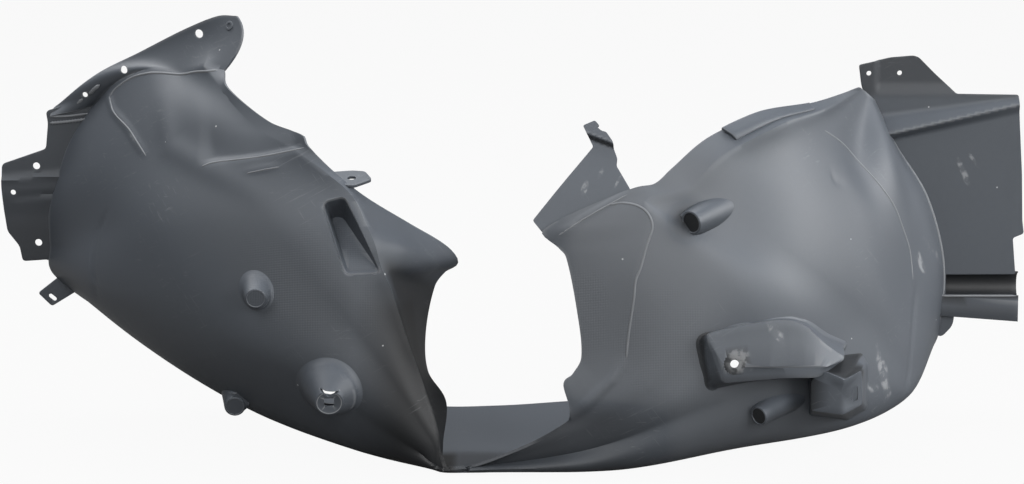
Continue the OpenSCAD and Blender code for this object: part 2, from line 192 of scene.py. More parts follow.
@dataclass(frozen=True)
class ArchSurface:
    """The outer face of the moulding, as a place for each station u and each span v."""

    spans: int = 5

    def ribs(self, u: np.ndarray) -> np.ndarray:
        """Gives the places of the five curves from the fender edge to the ridge, for each station."""
        return np.stack([GUIDES[s].at(u) for s in Span if s is not Span.EDGE], axis=1)

    def grid(self, u: np.ndarray, v: np.ndarray) -> np.ndarray:
        """Gives a net of places.

        Args:
            u: The stations of the rows.
            v: The spans of the columns.

        Returns:
            Places in millimetres, as rows by columns by three.
        """
        uu, vv = np.meshgrid(u, v, indexing="ij")
        return self.at(uu.ravel(), vv.ravel()).reshape(len(u), len(v), 3)

    def at(self, u: np.ndarray, v: np.ndarray) -> np.ndarray:
        """Gives the places for pairs of station and span.

        Args:
            u: The stations.
            v: The spans, as many as the stations.

        Returns:
            One place for each pair, in millimetres.
        """
        c = self.ribs(u)
        edge = GUIDES[Span.EDGE].at(u)
        row = np.arange(len(u))
        i = np.clip(np.floor(v).astype(int), 0, 3)
        t = (v - i)[:, None]
        here, ahead = c[row, i], c[row, i + 1]
        before = np.where((i > 0)[:, None], c[row, np.maximum(i - 1, 0)], 2 * here - ahead)
        after = np.where((i < 3)[:, None], c[row, np.minimum(i + 2, 4)], 2 * ahead - here)
        wall = hermite(here, (ahead - before) / 2, ahead, (after - here) / 2, t)
        wing = c[:, 4] + (edge - c[:, 4]) * (v - 4)[:, None]
        return np.where((v <= 4)[:, None], wall, wing)

    def normal(self, u: np.ndarray, v: np.ndarray) -> np.ndarray:
        """Gives the directions that point out of the arch, for pairs of station and span."""
        e = 0.08
        along = self.at(np.minimum(u + e, LAST_STATION), v) - self.at(np.maximum(u - e, 0), v)
        over = self.at(u, np.minimum(v + e, self.spans)) - self.at(u, np.maximum(v - e, 0))
        return unit(np.cross(along, over))

    def probes(self) -> tuple[np.ndarray, np.ndarray, np.ndarray, np.ndarray]:
        """Gives a coarse net of stations, spans, places and normals, from which a search starts."""
        uu, vv = np.meshgrid(np.linspace(0, LAST_STATION, 121), np.linspace(0, self.spans, 51), indexing="ij")
        u, v = uu.ravel(), vv.ravel()
        return u, v, self.at(u, v), self.normal(u, v)

    def meet(self, starts: np.ndarray, way: Sequence[float]) -> np.ndarray:
        """Finds where lines meet the surface, by Newton steps from the nearest probe.

        Args:
            starts: One place on each line.
            way: The direction of the lines, out of the wall.

        Returns:
            One place on the surface for each line.
        """
        out = unit(np.array(way, dtype=float))
        right = unit(np.cross(out, (0.0, 0.0, 1.0)))
        axes = np.stack([right, np.cross(right, out)])
        probe_u, probe_v, place, normal = PROBES
        seen = normal @ out > 0.1
        probe_u, probe_v, place = probe_u[seen], probe_v[seen], place[seen]
        goal, flat = starts @ axes.T, place @ axes.T
        far = ((goal[:, None] - flat) ** 2).sum(axis=2) - 0.02 * (place @ out)
        near = far.argmin(axis=1)
        u, v = probe_u[near].copy(), probe_v[near].copy()
        for _ in range(14):
            here = self.at(u, v)
            du = (self.at(u + NUDGE, v) - self.at(u - NUDGE, v)) @ axes.T / (2 * NUDGE)
            dv = (self.at(u, v + NUDGE) - self.at(u, v - NUDGE)) @ axes.T / (2 * NUDGE)
            miss = goal - here @ axes.T
            det = du[:, 0] * dv[:, 1] - du[:, 1] * dv[:, 0]
            det = np.where(np.abs(det) < 1e-6, 1e-6, det)
            u += np.clip((miss[:, 0] * dv[:, 1] - miss[:, 1] * dv[:, 0]) / det, -0.3, 0.3)
            v += np.clip((du[:, 0] * miss[:, 1] - du[:, 1] * miss[:, 0]) / det, -0.3, 0.3)
            u, v = np.clip(u, 0.001, LAST_STATION - 0.001), np.clip(v, 0.001, self.spans - 0.001)
        return self.at(u, v)


SURFACE = ArchSurface()
PROBES = SURFACE.probes()


def deselect() -> None:
    """Leaves edit mode and deselects everything."""
    if bpy.context.object and bpy.context.object.mode != "OBJECT":
        bpy.ops.object.mode_set(mode="OBJECT")
    bpy.ops.object.select_all(action="DESELECT")


def activate(piece: bpy.types.Object) -> None:
    """Makes one piece the only selected and the active one."""
    deselect()
    piece.select_set(True)
    bpy.context.view_layer.objects.active = piece


def edit_all(piece: bpy.types.Object, *steps: Callable[[], object]) -> None:
    """Runs edit mode operators on a whole piece.

    Args:
        piece: The piece.
        steps: Calls to make in edit mode with all of it selected.
    """
    activate(piece)
    bpy.ops.object.mode_set(mode="EDIT")
    bpy.ops.mesh.select_all(action="SELECT")
    for step in steps:
        step()
    bpy.ops.object.mode_set(mode="OBJECT")


def merge() -> None:
    """Merges the doubles of what is selected in edit mode."""
    bpy.ops.mesh.remove_doubles(threshold=MERGE)


def face_outwards() -> None:
    """Turns the faces of what is selected in edit mode outwards."""
    bpy.ops.mesh.normals_make_consistent(inside=False)


def apply_modifiers(piece: bpy.types.Object) -> None:
    """Applies every modifier of a piece."""
    activate(piece)
    for name in [m.name for m in piece.modifiers]:
        bpy.ops.object.modifier_apply(modifier=name)


def lay(piece: bpy.types.Object, places: np.ndarray) -> None:
    """Moves the vertices of a piece to places in millimetres.

    Args:
        piece: The piece, whose object sits at the origin.
        places: One place for each vertex, in the drawing's frame.
    """
    piece.data.vertices.foreach_set("co", ((places.reshape(-1, 3) + SETTLE) * MM).ravel())
    piece.data.update()


def add_net(name: str, net: np.ndarray, closed: bool = False) -> bpy.types.Object:
    """Adds a grid primitive and lays its vertices on a net of places.

    Args:
        name: The piece's name.
        net: Places in millimetres, as rows by columns by three. Faces look to the side from which rows run
            up and columns run to the right.
        closed: Whether places that meet are merged and the whole is turned outwards.

    Returns:
        The new piece, in metres in the part's frame.
    """
    rows, columns = net.shape[:2]
    deselect()
    bpy.ops.mesh.primitive_grid_add(x_subdivisions=columns - 1, y_subdivisions=rows - 1, size=1)
    piece = bpy.context.object
    piece.name = name
    piece.data.name = name
    lay(piece, net)
    if closed:
        edit_all(piece, merge, lambda: bpy.ops.mesh.dissolve_degenerate(threshold=MERGE), face_outwards)
    return piece


def add_loft(name: str, rings: Sequence[np.ndarray], heart: Sequence[float] | None = None) -> bpy.types.Object:
    """Adds a closed form from rings of places, with its first and its last ring drawn in to their middles.

    Args:
        name: The piece's name.
        rings: Rings with equal numbers of places, in millimetres.
        heart: Where the last ring is drawn in to, if not to its middle.

    Returns:
        The new piece.
    """
    first = np.repeat(rings[0].mean(axis=0, keepdims=True), len(rings[0]), axis=0)
    middle = rings[-1].mean(axis=0) if heart is None else np.array(heart)
    last = np.repeat(middle[None], len(rings[0]), axis=0)
    net = np.array([first, *rings, last])
    return add_net(name, np.concatenate([net, net[:, :1]], axis=1), closed=True)


def thicken(piece: bpy.types.Object, thickness: float = WALL) -> None:
    """Gives a sheet a wall on the side that it turns its back to.

    Args:
        piece: The sheet, whose faces look outwards.
        thickness: The wall, in millimetres.
    """
    wall = piece.modifiers.new("wall", "SOLIDIFY")
    wall.thickness = thickness * MM
    wall.offset = -1
    wall.use_even_offset = False
    apply_modifiers(piece)


def soften(piece: bpy.types.Object, width: float, angle: float = 50, segments: int = 2) -> None:
    """Rounds the sharp edges of a piece.

    Args:
        piece: The piece.
        width: The rounding, in millimetres.
        angle: The least angle of an edge that is rounded, in degrees.
        segments: The faces across each rounding.
    """
    bevel = piece.modifiers.new("soft_edge", "BEVEL")
    bevel.width = width * MM
    bevel.segments = segments
    bevel.limit_method = "ANGLE"
    bevel.angle_limit = math.radians(angle)
    bevel.use_clamp_overlap = True
    apply_modifiers(piece)


def smooth(piece: bpy.types.Object, angle: float = 40) -> None:
    """Shades a piece smooth, with edges sharper than an angle in degrees left crisp."""
    activate(piece)
    bpy.ops.object.shade_smooth_by_angle(angle=math.radians(angle))


def painted_light_and_wear_of(piece: bpy.types.Object) -> bpy.types.Attribute:
    """Gives the attribute that darkens or pales a piece: -1 paints shade in black, 1 paints a pale highlight together
    with rubbed wear.
    """
    found = piece.data.attributes.get("painted_light_and_wear")
    return found or piece.data.attributes.new("painted_light_and_wear", "FLOAT", "POINT")


def set_painted_light_and_wear(piece: bpy.types.Object, amount: float | np.ndarray) -> None:
    """Sets the painted shade, painted highlight and wear of a whole piece.

    Args:
        piece: The piece.
        amount: One amount, or one for each vertex.
    """
    values = np.broadcast_to(np.asarray(amount, dtype=float), len(piece.data.vertices)).copy()
    painted_light_and_wear_of(piece).data.foreach_set("value", values)


def paint_edge_highlight_and_wear(piece: bpy.types.Object, amount: float, angle: float = 26, largest: float = 16) -> None:
    """Paints the sharp outer edges of a piece pale, as a painted highlight along them with some rubbed wear.

    Args:
        piece: The piece.
        amount: How much.
        angle: The least angle of an edge that is rubbed, in degrees.
        largest: The largest face beside such an edge, in square millimetres, so that the pale line stays thin.
    """
    painted_light_and_wear_of(piece)
    mesh = bmesh.new()
    mesh.from_mesh(piece.data)
    layer = mesh.verts.layers.float["painted_light_and_wear"]
    least = math.radians(angle)
    for edge in mesh.edges:
        small = all(face.calc_area() < largest * MM * MM for face in edge.link_faces)
        if small and edge.calc_face_angle_signed(0.0) > least:
            for vertex in edge.verts:
                if vertex[layer] > -0.1:
                    vertex[layer] = max(vertex[layer], amount)
    mesh.to_mesh(piece.data)
    mesh.free()


def drawn_places(piece: bpy.types.Object) -> np.ndarray:
    """Gives the places of a piece's vertices in the millimetres that it was drawn in."""
    places = np.empty(3 * len(piece.data.vertices))
    piece.data.vertices.foreach_get("co", places)
    return places.reshape(-1, 3) / MM - SETTLE


def remove(piece: bpy.types.Object) -> None:
    """Deletes a helper piece."""
    bpy.data.objects.remove(piece, do_unlink=True)


def carve(piece: bpy.types.Object, tools: Sequence[bpy.types.Object], keep_inside: bool = False) -> None:
    """Cuts a closed piece by closed tools and deletes the tools.

    Args:
        piece: The piece to cut.
        tools: The tools, which don't touch each other.
        keep_inside: Whether what lies inside the tool is kept instead of removed.
    """
    activate(tools[0])
    for tool in tools[1:]:
        tool.select_set(True)
    if len(tools) > 1:
        bpy.ops.object.join()
    cut = piece.modifiers.new("cut", "BOOLEAN")
    cut.operation = "INTERSECT" if keep_inside else "DIFFERENCE"
    cut.solver = "EXACT"
    cut.object = tools[0]
    apply_modifiers(piece)
    remove(tools[0])


@dataclass(frozen=True)
class Stand:
    """A place with two directions across it and one out of it, on which flat outlines are drawn."""

    origin: tuple[float, float, float]
    right: tuple[float, float, float]
    up: tuple[float, float, float]

    def out(self) -> np.ndarray:
        """Gives the direction that points out of the drawing."""
        return unit(np.cross(self.right, self.up))

    def lift(self, a: np.ndarray, b: np.ndarray, c: np.ndarray | float) -> np.ndarray:
        """Turns drawn distances into places.

        Args:
            a: Distances to the right.
            b: Distances up.
            c: Distances out.

        Returns:
            Places in millimetres.
        """
        a, b, c = np.broadcast_arrays(a, b, c)
        right, up = unit(np.array(self.right)), unit(np.array(self.up))
        return np.array(self.origin) + a[..., None] * right + b[..., None] * up + c[..., None] * self.out()


def facing(origin: Sequence[float], way: Sequence[float]) -> Stand:
    """Makes a stand whose drawing is seen from the end of a direction.

    Args:
        origin: The stand's place.
        way: The direction out of the drawing.

    Returns:
        The stand, with its up direction as upright as it can be.
    """
    out = unit(np.array(way, dtype=float))
    right = unit(np.cross((0, 0, 1), out))
    return Stand(tuple(origin), tuple(right), tuple(np.cross(out, right)))


def rounded(corners: np.ndarray, radius: float, steps: int = 5, sides: int = 1) -> np.ndarray:
    """Rounds the corners of a closed outline.

    Args:
        corners: The corners, as rows of two or three lengths.
        radius: How far each rounding reaches along its sides, in millimetres.
        steps: The faces across each rounding.
        sides: The faces along each straight side.

    Returns:
        The outline's places, the same number for each corner.
    """
    corners = np.asarray(corners, dtype=float)
    before, after = np.roll(corners, 1, axis=0), np.roll(corners, -1, axis=0)
    places = []
    for k, corner in enumerate(corners):
        into, out_of = before[k] - corner, after[k] - corner
        a = corner + into * min(0.45, radius / np.linalg.norm(into))
        b = corner + out_of * min(0.45, radius / np.linalg.norm(out_of))
        for t in np.linspace(0, 1, steps + 1):
            places.append((1 - t) ** 2 * a + 2 * t * (1 - t) * corner + t**2 * b)
        out_next = corner - after[k]
        c = after[k] + out_next * min(0.45, radius / np.linalg.norm(out_next))
        for t in np.linspace(0, 1, sides + 1)[1:-1]:
            places.append(b + (c - b) * t)
    return np.array(places)


def circle(radius: float, count: int = 32, teeth: float = 0.0) -> np.ndarray:
    """Draws a circle round the origin.

    Args:
        radius: Its radius.
        count: Its places.
        teeth: How far every second place is drawn in.

    Returns:
        Its places, as rows of two lengths.
    """
    turn = np.linspace(0, 2 * math.pi, count, endpoint=False)
    reach = radius - teeth * (np.arange(count) % 2)
    return np.stack([reach * np.cos(turn), reach * np.sin(turn)], axis=1)


def add_prism(name: str, stand: Stand, outline: np.ndarray, low: float, high: float) -> bpy.types.Object:
    """Adds a straight-sided block by extruding a filled outline.

    Args:
        name: The block's name.
        stand: Where the outline is drawn.
        outline: The outline, as rows of two lengths.
        low: The height at which it starts.
        high: The height at which it ends.

    Returns:
        The closed block.
    """
    deselect()
    bpy.ops.mesh.primitive_circle_add(vertices=len(outline), fill_type="NGON")
    block = bpy.context.object
    block.name = name
    block.data.name = name
    lay(block, stand.lift(outline[:, 0], outline[:, 1], low))
    reach = Vector(stand.out() * (high - low) * MM)
    edit_all(
        block,
        lambda: bpy.ops.mesh.extrude_region_move(TRANSFORM_OT_translate={"value": reach}),
        lambda: bpy.ops.mesh.select_all(action="SELECT"),
        face_outwards,
    )
    return block


class Relief(Enum):
    """How the wall changes along a drawn line."""

    RIB = "rib"
    STEP = "step"


@dataclass(frozen=True)
class Crease:
    """A line on the wall, drawn as seen from the side wall, along which the wall rises, sinks or steps."""

    line: tuple[Pair, ...]
    height: float
    reach: float = 3.0
    kind: Relief = Relief.RIB
    fade: float = 40.0

    def path(self) -> np.ndarray:
        """Lays the line on the wall, with a place every few millimetres."""
        corners = np.array(self.line, dtype=float)
        share = np.arange(len(corners))
        fine = np.linspace(0, len(corners) - 1, 6 * (len(corners) - 1) + 1)
        x, z = np.interp(fine, share, corners[:, 0]), np.interp(fine, share, corners[:, 1])
        return SURFACE.meet(np.stack([x, 0 * x, z], axis=1), FRONT)

    def rise(self, places: np.ndarray, normals: np.ndarray) -> np.ndarray:
        """Gives how far the wall rises at some places.

        Args:
            places: Places on the wall.
            normals: The directions out of the wall there.

        Returns:
            One height for each place, in millimetres.
        """
        path = self.path()
        a, b = path[:-1], path[1:]
        run = np.linalg.norm(b - a, axis=1)
        along = np.concatenate([[0], np.cumsum(run)])
        t = np.einsum("ijk,jk->ij", places[:, None] - a, b - a) / np.maximum(run**2, 1e-6)
        t = np.clip(t, 0, 1)
        gap = places[:, None] - (a + t[..., None] * (b - a))
        far = np.linalg.norm(gap, axis=2)
        near = far.argmin(axis=1)
        row = np.arange(len(places))
        away, gap, t = far[row, near], gap[row, near], t[row, near]
        travelled = along[near] + t * run[near]
        taper = np.clip(np.minimum(travelled, along[-1] - travelled) / (4 * self.reach), 0, 1)
        if self.kind is Relief.RIB:
            return self.height * np.exp(-((away / self.reach) ** 2)) * (0.3 + 0.7 * taper)
        side = np.einsum("ij,ij->i", np.cross(b[near] - a[near], gap), normals)
        signed = away * np.sign(side)
        ramp = 0.5 + 0.5 * np.tanh(1.6 * signed / self.reach)
        return self.height * ramp * np.exp(-((np.maximum(signed, 0) / self.fade) ** 2)) * taper


CREASES = (
    Crease(((-439, 352), (-431, 337), (-411, 324), (-388, 301)), 1.6, 3.0),
    Crease(((-433, 236), (-443, 214), (-448, 185), (-446, 160), (-446, 140)), -1.8, 3.4),
    Crease(((-371, 357), (-360, 314), (-328, 303), (-290, 290), (-263, 278)), 1.8, 13),
    Crease(((-325, 301), (-309, 307), (-259, 317), (-211, 330)), -3.6, 3.4, Relief.STEP, 44),
    Crease(((-276, 299), (-258, 304), (-240, 308)), 1.4, 2.8),
    Crease(((-150, 241), (-147, 237), (-113, 218), (-90, 203)), 8.0, 15),
    Crease(((436, 147), (433, 127), (428, 89), (420, 41)), -1.3),
    Crease(((45, 242), (75, 262), (118, 286)), 1.4, 2.8),
    Crease(((112, 113), (102, 96), (80, 73), (60, 56)), 2.4, 5),
    Crease(((334, 288), (337, 278), (348, 274)), -1.8, 2.6),
)


@dataclass
class MouldedWall:
    """The wall round the wheel, its side wall with the strut gap and the flange at its left end."""

    rows_per_station: int = 17
    columns_per_span: int = 20
    flange_rows: int = 14

    def spans(self) -> np.ndarray:
        """Gives the spans of the columns."""
        return np.linspace(0, SURFACE.spans, SURFACE.spans * self.columns_per_span + 1)

    def stations(self) -> np.ndarray:
        """Gives the stations of the rows."""
        return np.linspace(0, LAST_STATION, int(LAST_STATION) * self.rows_per_station + 1)

    def flange(self) -> np.ndarray:
        """Lays out the flange from its rim to the fold."""
        share = self.spans() / SURFACE.spans
        fold = SURFACE.grid(np.array([0.0]), self.spans())[0]
        rim, heel = RIM.at(share), HEEL.at(share)
        rows = []
        for t in np.linspace(1, 0, self.flange_rows, endpoint=False):
            rows.append(fold * (1 - t) * (1 - 2 * t) + heel * 4 * t * (1 - t) + rim * t * (2 * t - 1))
        return np.array(rows)

    def creased(self) -> np.ndarray:
        """Gives the net of the wall with its creases."""
        stations, spans = self.stations(), self.spans()
        net = SURFACE.grid(stations, spans)
        uu, vv = np.meshgrid(stations, spans, indexing="ij")
        flat = net.reshape(-1, 3)
        normals = SURFACE.normal(uu.ravel(), vv.ravel())
        rise = sum(crease.rise(flat, normals) for crease in CREASES)
        seen = np.clip(-normals[:, 1] * 4, 0, 1)
        places = flat + normals * (rise * seen)[:, None]
        places[:, 2] = np.maximum(places[:, 2], -SETTLE[2])
        return places.reshape(net.shape)

    def painted_light_and_wear(self) -> np.ndarray:
        """Gives the painted shade of the wall: darker below the left wing's fold, over the lower left lobe, round the
        crown, round the upper right boss and over the left lobe's middle, with a lighter patch, partly dust and partly
        painted light, over the right lobe's left part.
        """
        uu, vv = np.meshgrid(self.stations(), self.spans(), indexing="ij")
        x, y, z = np.moveaxis(SURFACE.grid(self.stations(), self.spans()), -1, 0)
        # Painted shade where the wall faces down or away from the lamps, and a painted shadow round the upper right
        # boss.
        low = ease((uu - 5.5 - 0.8 * (vv - 4)) / 0.5) * (1 - ease((uu - 9.8) / 1.2)) * ease((vv - 3.95) / 0.15)
        side = ease((-50 - y) / 30)
        lobe = ease((x + 185) / 75) * (1 - ease((x + 66) / 20)) * (1 - ease((z - 160) / 60)) * side
        crown = ease((x + 90) / 40) * (1 - ease((x - 90) / 90)) * (1 - ease((z - 50) / 30)) * side
        boss = bump(np.hypot(x - 177, z - 257), 15) * side
        a, b = 0.79 * (x + 240) - 0.61 * (z - 190), 0.61 * (x + 240) + 0.79 * (z - 190)
        shade = bump(np.hypot(a / 150, b / 75), 1)
        # Painted light, partly dust: the right lobe's left part, which faces away from the lamps, is made lighter.
        dust_and_painted_light = ease((x - 40) / 30) * (1 - ease((x - 190) / 60) * ease((z - 80) / 40)) * (0.6 + 0.4 * ease((z - 60) / 60))
        darkened = np.maximum(np.maximum(0.9 * low, 1.0 * lobe), np.maximum(0.6 * crown, 0.95 * boss))
        wall = 0.18 * dust_and_painted_light * side * (1 - boss) - np.maximum(darkened, 0.34 * shade)
        return np.concatenate([np.zeros((self.flange_rows, len(self.spans()))), wall]).ravel()

    def build(self, tools: Sequence[Sequence[bpy.types.Object]]) -> bpy.types.Object:
        """Builds the closed wall.

        Args:
            tools: What is cut out of it, in sets whose tools don't touch each other.

        Returns:
            The wall.
        """
        wall = add_net("moulded_wall", np.concatenate([self.flange(), self.creased()]))
        # The wall's painted shade and painted light.
        set_painted_light_and_wear(wall, self.painted_light_and_wear())
        thicken(wall)
        for set_of_tools in tools:
            carve(wall, set_of_tools)
        places = np.empty(3 * len(wall.data.vertices))
        wall.data.vertices.foreach_get("co", places)
        places[2::3] = np.maximum(places[2::3], 0.0)
        wall.data.vertices.foreach_set("co", places)
        smooth(wall, 35)
        return wall


@dataclass(frozen=True)
class Boss:
    """A hollow round boss that stands on the wall."""

    name: str
    station: float
    span: float
    way: tuple[float, float, float]
    root: float = 15.0
    tip: float = 11.0
    reach: float = 24.0
    fillet: float = 5.0
    edge: float = 1.6
    dish: float = 0.5
    end_shade: float = 0.0
    count: int = 48

    def stand(self) -> Stand:
        """Gives the boss's place and direction."""
        return facing(SURFACE.at(np.array([self.station]), np.array([self.span]))[0], self.way)

    def foot(self, radius: float) -> np.ndarray:
        """Gives the wall's height along the boss, round a circle."""
        stand = self.stand()
        ring = circle(radius, self.count)
        met = SURFACE.meet(stand.lift(ring[:, 0], ring[:, 1], 0.0), self.way)
        return (met - np.array(stand.origin)) @ stand.out()

    def ring(self, radius: float, height: np.ndarray | float) -> np.ndarray:
        """Lays a circle at a height along the boss."""
        flat = circle(radius, self.count)
        return self.stand().lift(flat[:, 0], flat[:, 1], height)

    def outside(self) -> list[np.ndarray]:
        """Lays out the rings from the wall to the tip."""
        top = self.reach - self.edge
        rings = []
        for turn in np.radians(np.linspace(0, 78, 7)):
            radius = self.root + self.fillet * (1 - math.sin(turn))
            height = self.foot(radius) + WALL + self.fillet * (1 - math.cos(turn)) - 0.25
            rings.append(self.ring(radius, np.minimum(height, top)))
        last = np.minimum(self.foot(self.root) + WALL + self.fillet, top)
        for t in np.linspace(0.1, 1, 6):
            rings.append(self.ring(self.root + (self.tip - self.root) * t, last + (top - last) * t))
        for turn in np.radians(np.linspace(20, 90, 4)):
            rings.append(self.ring(self.tip - self.edge * (1 - math.cos(turn)), top + self.edge * math.sin(turn)))
        rings.append(self.ring(self.tip * 0.84, self.reach))
        rings.append(self.ring(self.tip * 0.79, self.reach - self.dish))
        rings.append(self.ring(self.tip * 0.3, self.reach - self.dish))
        return rings

    def inside(self) -> list[np.ndarray]:
        """Lays out the rings of the hollow, from its end to the wall."""
        end = self.reach - WALL - self.dish
        rings = [self.ring(self.tip * 0.3, end), self.ring(self.tip - WALL - 1, end), self.ring(self.tip - WALL, end - 1)]
        foot = self.foot(self.root - WALL) - WALL - 0.4
        for t in np.linspace(0.3, 1, 4):
            radius = self.tip + (self.root - self.tip) * t - WALL
            rings.append(self.ring(radius, end - 1 + (np.minimum(foot, end - 2) - end + 1) * t))
        rings.append(self.ring(self.root + 0.5 * self.fillet, self.foot(self.root + 0.5 * self.fillet) - 0.5 * WALL))
        return rings

    def build(self) -> bpy.types.Object:
        """Builds the boss as a closed shell."""
        piece = add_loft(self.name, self.inside() + self.outside())
        smooth(piece, 38)
        self.shade_end(piece)
        return piece

    def shade_end(self, piece: bpy.types.Object) -> None:
        """Paints shade on the dished end of a boss.

        Args:
            piece: The boss.
        """
        stand = self.stand()
        away = drawn_places(piece) - np.array(stand.origin)
        height = away @ stand.out()
        radius = np.linalg.norm(away - height[:, None] * stand.out(), axis=1)
        end = (height > self.reach - self.dish - 1.0) & (radius < 0.82 * self.tip)
        # The end face takes the painted shade amount, black at -1.
        set_painted_light_and_wear(piece, np.where(end, self.end_shade, 0.0))

    def hollow(self) -> bpy.types.Object:
        """Builds the tool that opens the wall behind the boss."""
        low = float(self.foot(self.root - WALL).min()) - 2 * WALL
        return add_loft(
            "hollow",
            [self.ring(self.root - WALL + 0.02, low), self.ring(self.tip - WALL, self.reach - WALL - self.dish)],
        )


@dataclass(frozen=True)
class LargeBoss(Boss):
    """The large tapered boss with a ledge and a square hole in its end."""

    hole: float = 10.0
    notch: tuple[Pair, ...] = ((-10, 14.5), (11, 12.5), (-1, 6.8))

    def build(self) -> bpy.types.Object:
        """Builds the boss and cuts the square hole and the notch above it."""
        piece = add_loft(self.name, self.inside() + self.outside())
        half = self.hole / 2
        square = rounded(np.array([(-half, -half), (half, -half), (half, half), (-half, half)]), 1.2, 2)
        low, high = self.reach - 3 * WALL, self.reach + 2 * WALL
        notch = rounded(np.array(self.notch), 1.0, 2)
        carve(piece, [add_prism("hole", self.stand(), shape, low, high) for shape in (square, notch)])
        soften(piece, 0.5, 60)
        # Pale painted highlight on the rims of the square hole and the notch.
        paint_edge_highlight_and_wear(piece, 1.0, 26, 2.5)
        smooth(piece, 38)
        return piece


LEFT_DRAW = (0.04, -1.0, -0.22)
RIGHT_DRAW = (-0.85, -0.92, -0.2)
BOSSES = (
    Boss("upper_left_boss", 5.5, 2.5, LEFT_DRAW, 14.0, 11.0, 24.0, 8.0),
    Boss("lower_left_boss", 7.2, 1.05, LEFT_DRAW),
    Boss("upper_right_boss", 19.65, 3.7, RIGHT_DRAW, 15.5, 12.6, 27.5, 4.0, 1.2, 1.2, -1.0),
    Boss("lower_right_boss", 17.65, 1.65, RIGHT_DRAW, 12.5, 10.2, 37.0, 5.0, 1.2, 1.2, -1.0),
    LargeBoss("large_boss", 8.1, 2.02, (0.07, -1.0, -0.3), 28.0, 15.0, 31.6, 9.0, 2.0),
)


def on_wall(outline: Sequence[Pair], proud: float = 0.0) -> np.ndarray:
    """Lays an outline, drawn as seen from the side wall, on the wall.

    Args:
        outline: The outline's corners as X and Z.
        proud: How far in front of the wall's inner face it is laid.

    Returns:
        One place on the wall for each corner.
    """
    flat = np.array(outline, dtype=float)
    return SURFACE.meet(np.stack([flat[:, 0], 0 * flat[:, 0], flat[:, 1]], axis=1), FRONT) - (0, proud, 0)


def spread(ring: np.ndarray, by: float) -> np.ndarray:
    """Moves a ring outwards as seen from the side wall.

    Args:
        ring: The ring's places, in order.
        by: How far, in millimetres, or less than nothing to draw it in.

    Returns:
        The new ring.
    """
    along = np.roll(ring, -1, axis=0) - np.roll(ring, 1, axis=0)
    out = unit(np.stack([along[:, 2], 0 * along[:, 1], -along[:, 0]], axis=1))
    turn = np.sum(np.cross(ring - ring.mean(axis=0), along)[:, 1])
    return ring + out * by * (1 if turn < 0 else -1)


def hollow_block(root: np.ndarray, face: np.ndarray, behind: float) -> bpy.types.Object:
    """Builds the tool that opens the wall behind a raised form.

    Args:
        root: The form's corners on the wall.
        face: Its corners on its face.
        behind: How far behind the wall the tool starts.

    Returns:
        The closed tool.
    """
    low, high = spread(root, -WALL), spread(face, -WALL)
    return add_loft("hollow", [low + np.array([0, behind, 0]), high + np.array([0, WALL, 0])])


@dataclass
class Pocket:
    """The ramped pocket beside the ridge, deep at its top."""

    mouth: tuple[Pair, ...] = ((-194, 274), (-173, 280), (-136, 208), (-170, 206))
    floor: tuple[Pair, ...] = ((-188, 254), (-176, 255), (-139, 211), (-168, 208))
    depth: tuple[float, ...] = (26.0, 26.0, 3.0, 3.0)
    corner: float = 6.0

    def rings(self, more: float) -> list[np.ndarray]:
        """Lays out the pocket's inside, from its floor to its mouth.

        Args:
            more: How much larger it is drawn, in millimetres.

        Returns:
            The rings, each with the same number of places.
        """
        mouth = rounded(on_wall(self.mouth), self.corner, 5, 4)
        deep = on_wall(self.mouth)[:, 1] + np.array(self.depth)
        flat = np.array(self.floor, dtype=float)
        floor = rounded(np.stack([flat[:, 0], deep + more, flat[:, 1]], axis=1), self.corner, 5, 4)
        return [spread(ring, more) for ring in (floor, mouth)]

    def build(self) -> bpy.types.Object:
        """Builds the pocket as a closed shell with a rounded frame."""
        floor, mouth = self.rings(0)
        under, around = self.rings(WALL)
        proud = np.array([0, -1.2, 0])
        small = np.array([0, -0.5, 0])
        rings = [
            floor.mean(axis=0) + 0.4 * (floor - floor.mean(axis=0)) + small, floor + 0.12 * (mouth - floor) * 0 + small,
            floor + 0.05 * (mouth - floor), mouth + 0.04 * (floor - mouth), spread(mouth, 0.6) + proud * 0.7,
            spread(mouth, 2.0) + proud, spread(mouth, 3.6) + proud * 0.7, spread(mouth, 4.8) + np.array([0, 0.8, 0]),
            around + np.array([0, 2.2, 0]), under + 0.1 * (around - under), under,
        ]
        piece = add_loft("side_pocket", rings)
        soften(piece, 0.8, 55)
        smooth(piece, 38)
        return piece

    def hollow(self) -> bpy.types.Object:
        """Builds the tool that opens the wall at the pocket."""
        floor, mouth = self.rings(WALL * 0.6)
        return add_loft("hollow", [floor, mouth, mouth + (mouth - floor) * 0.1 + np.array([0, -3 * WALL, 0])])


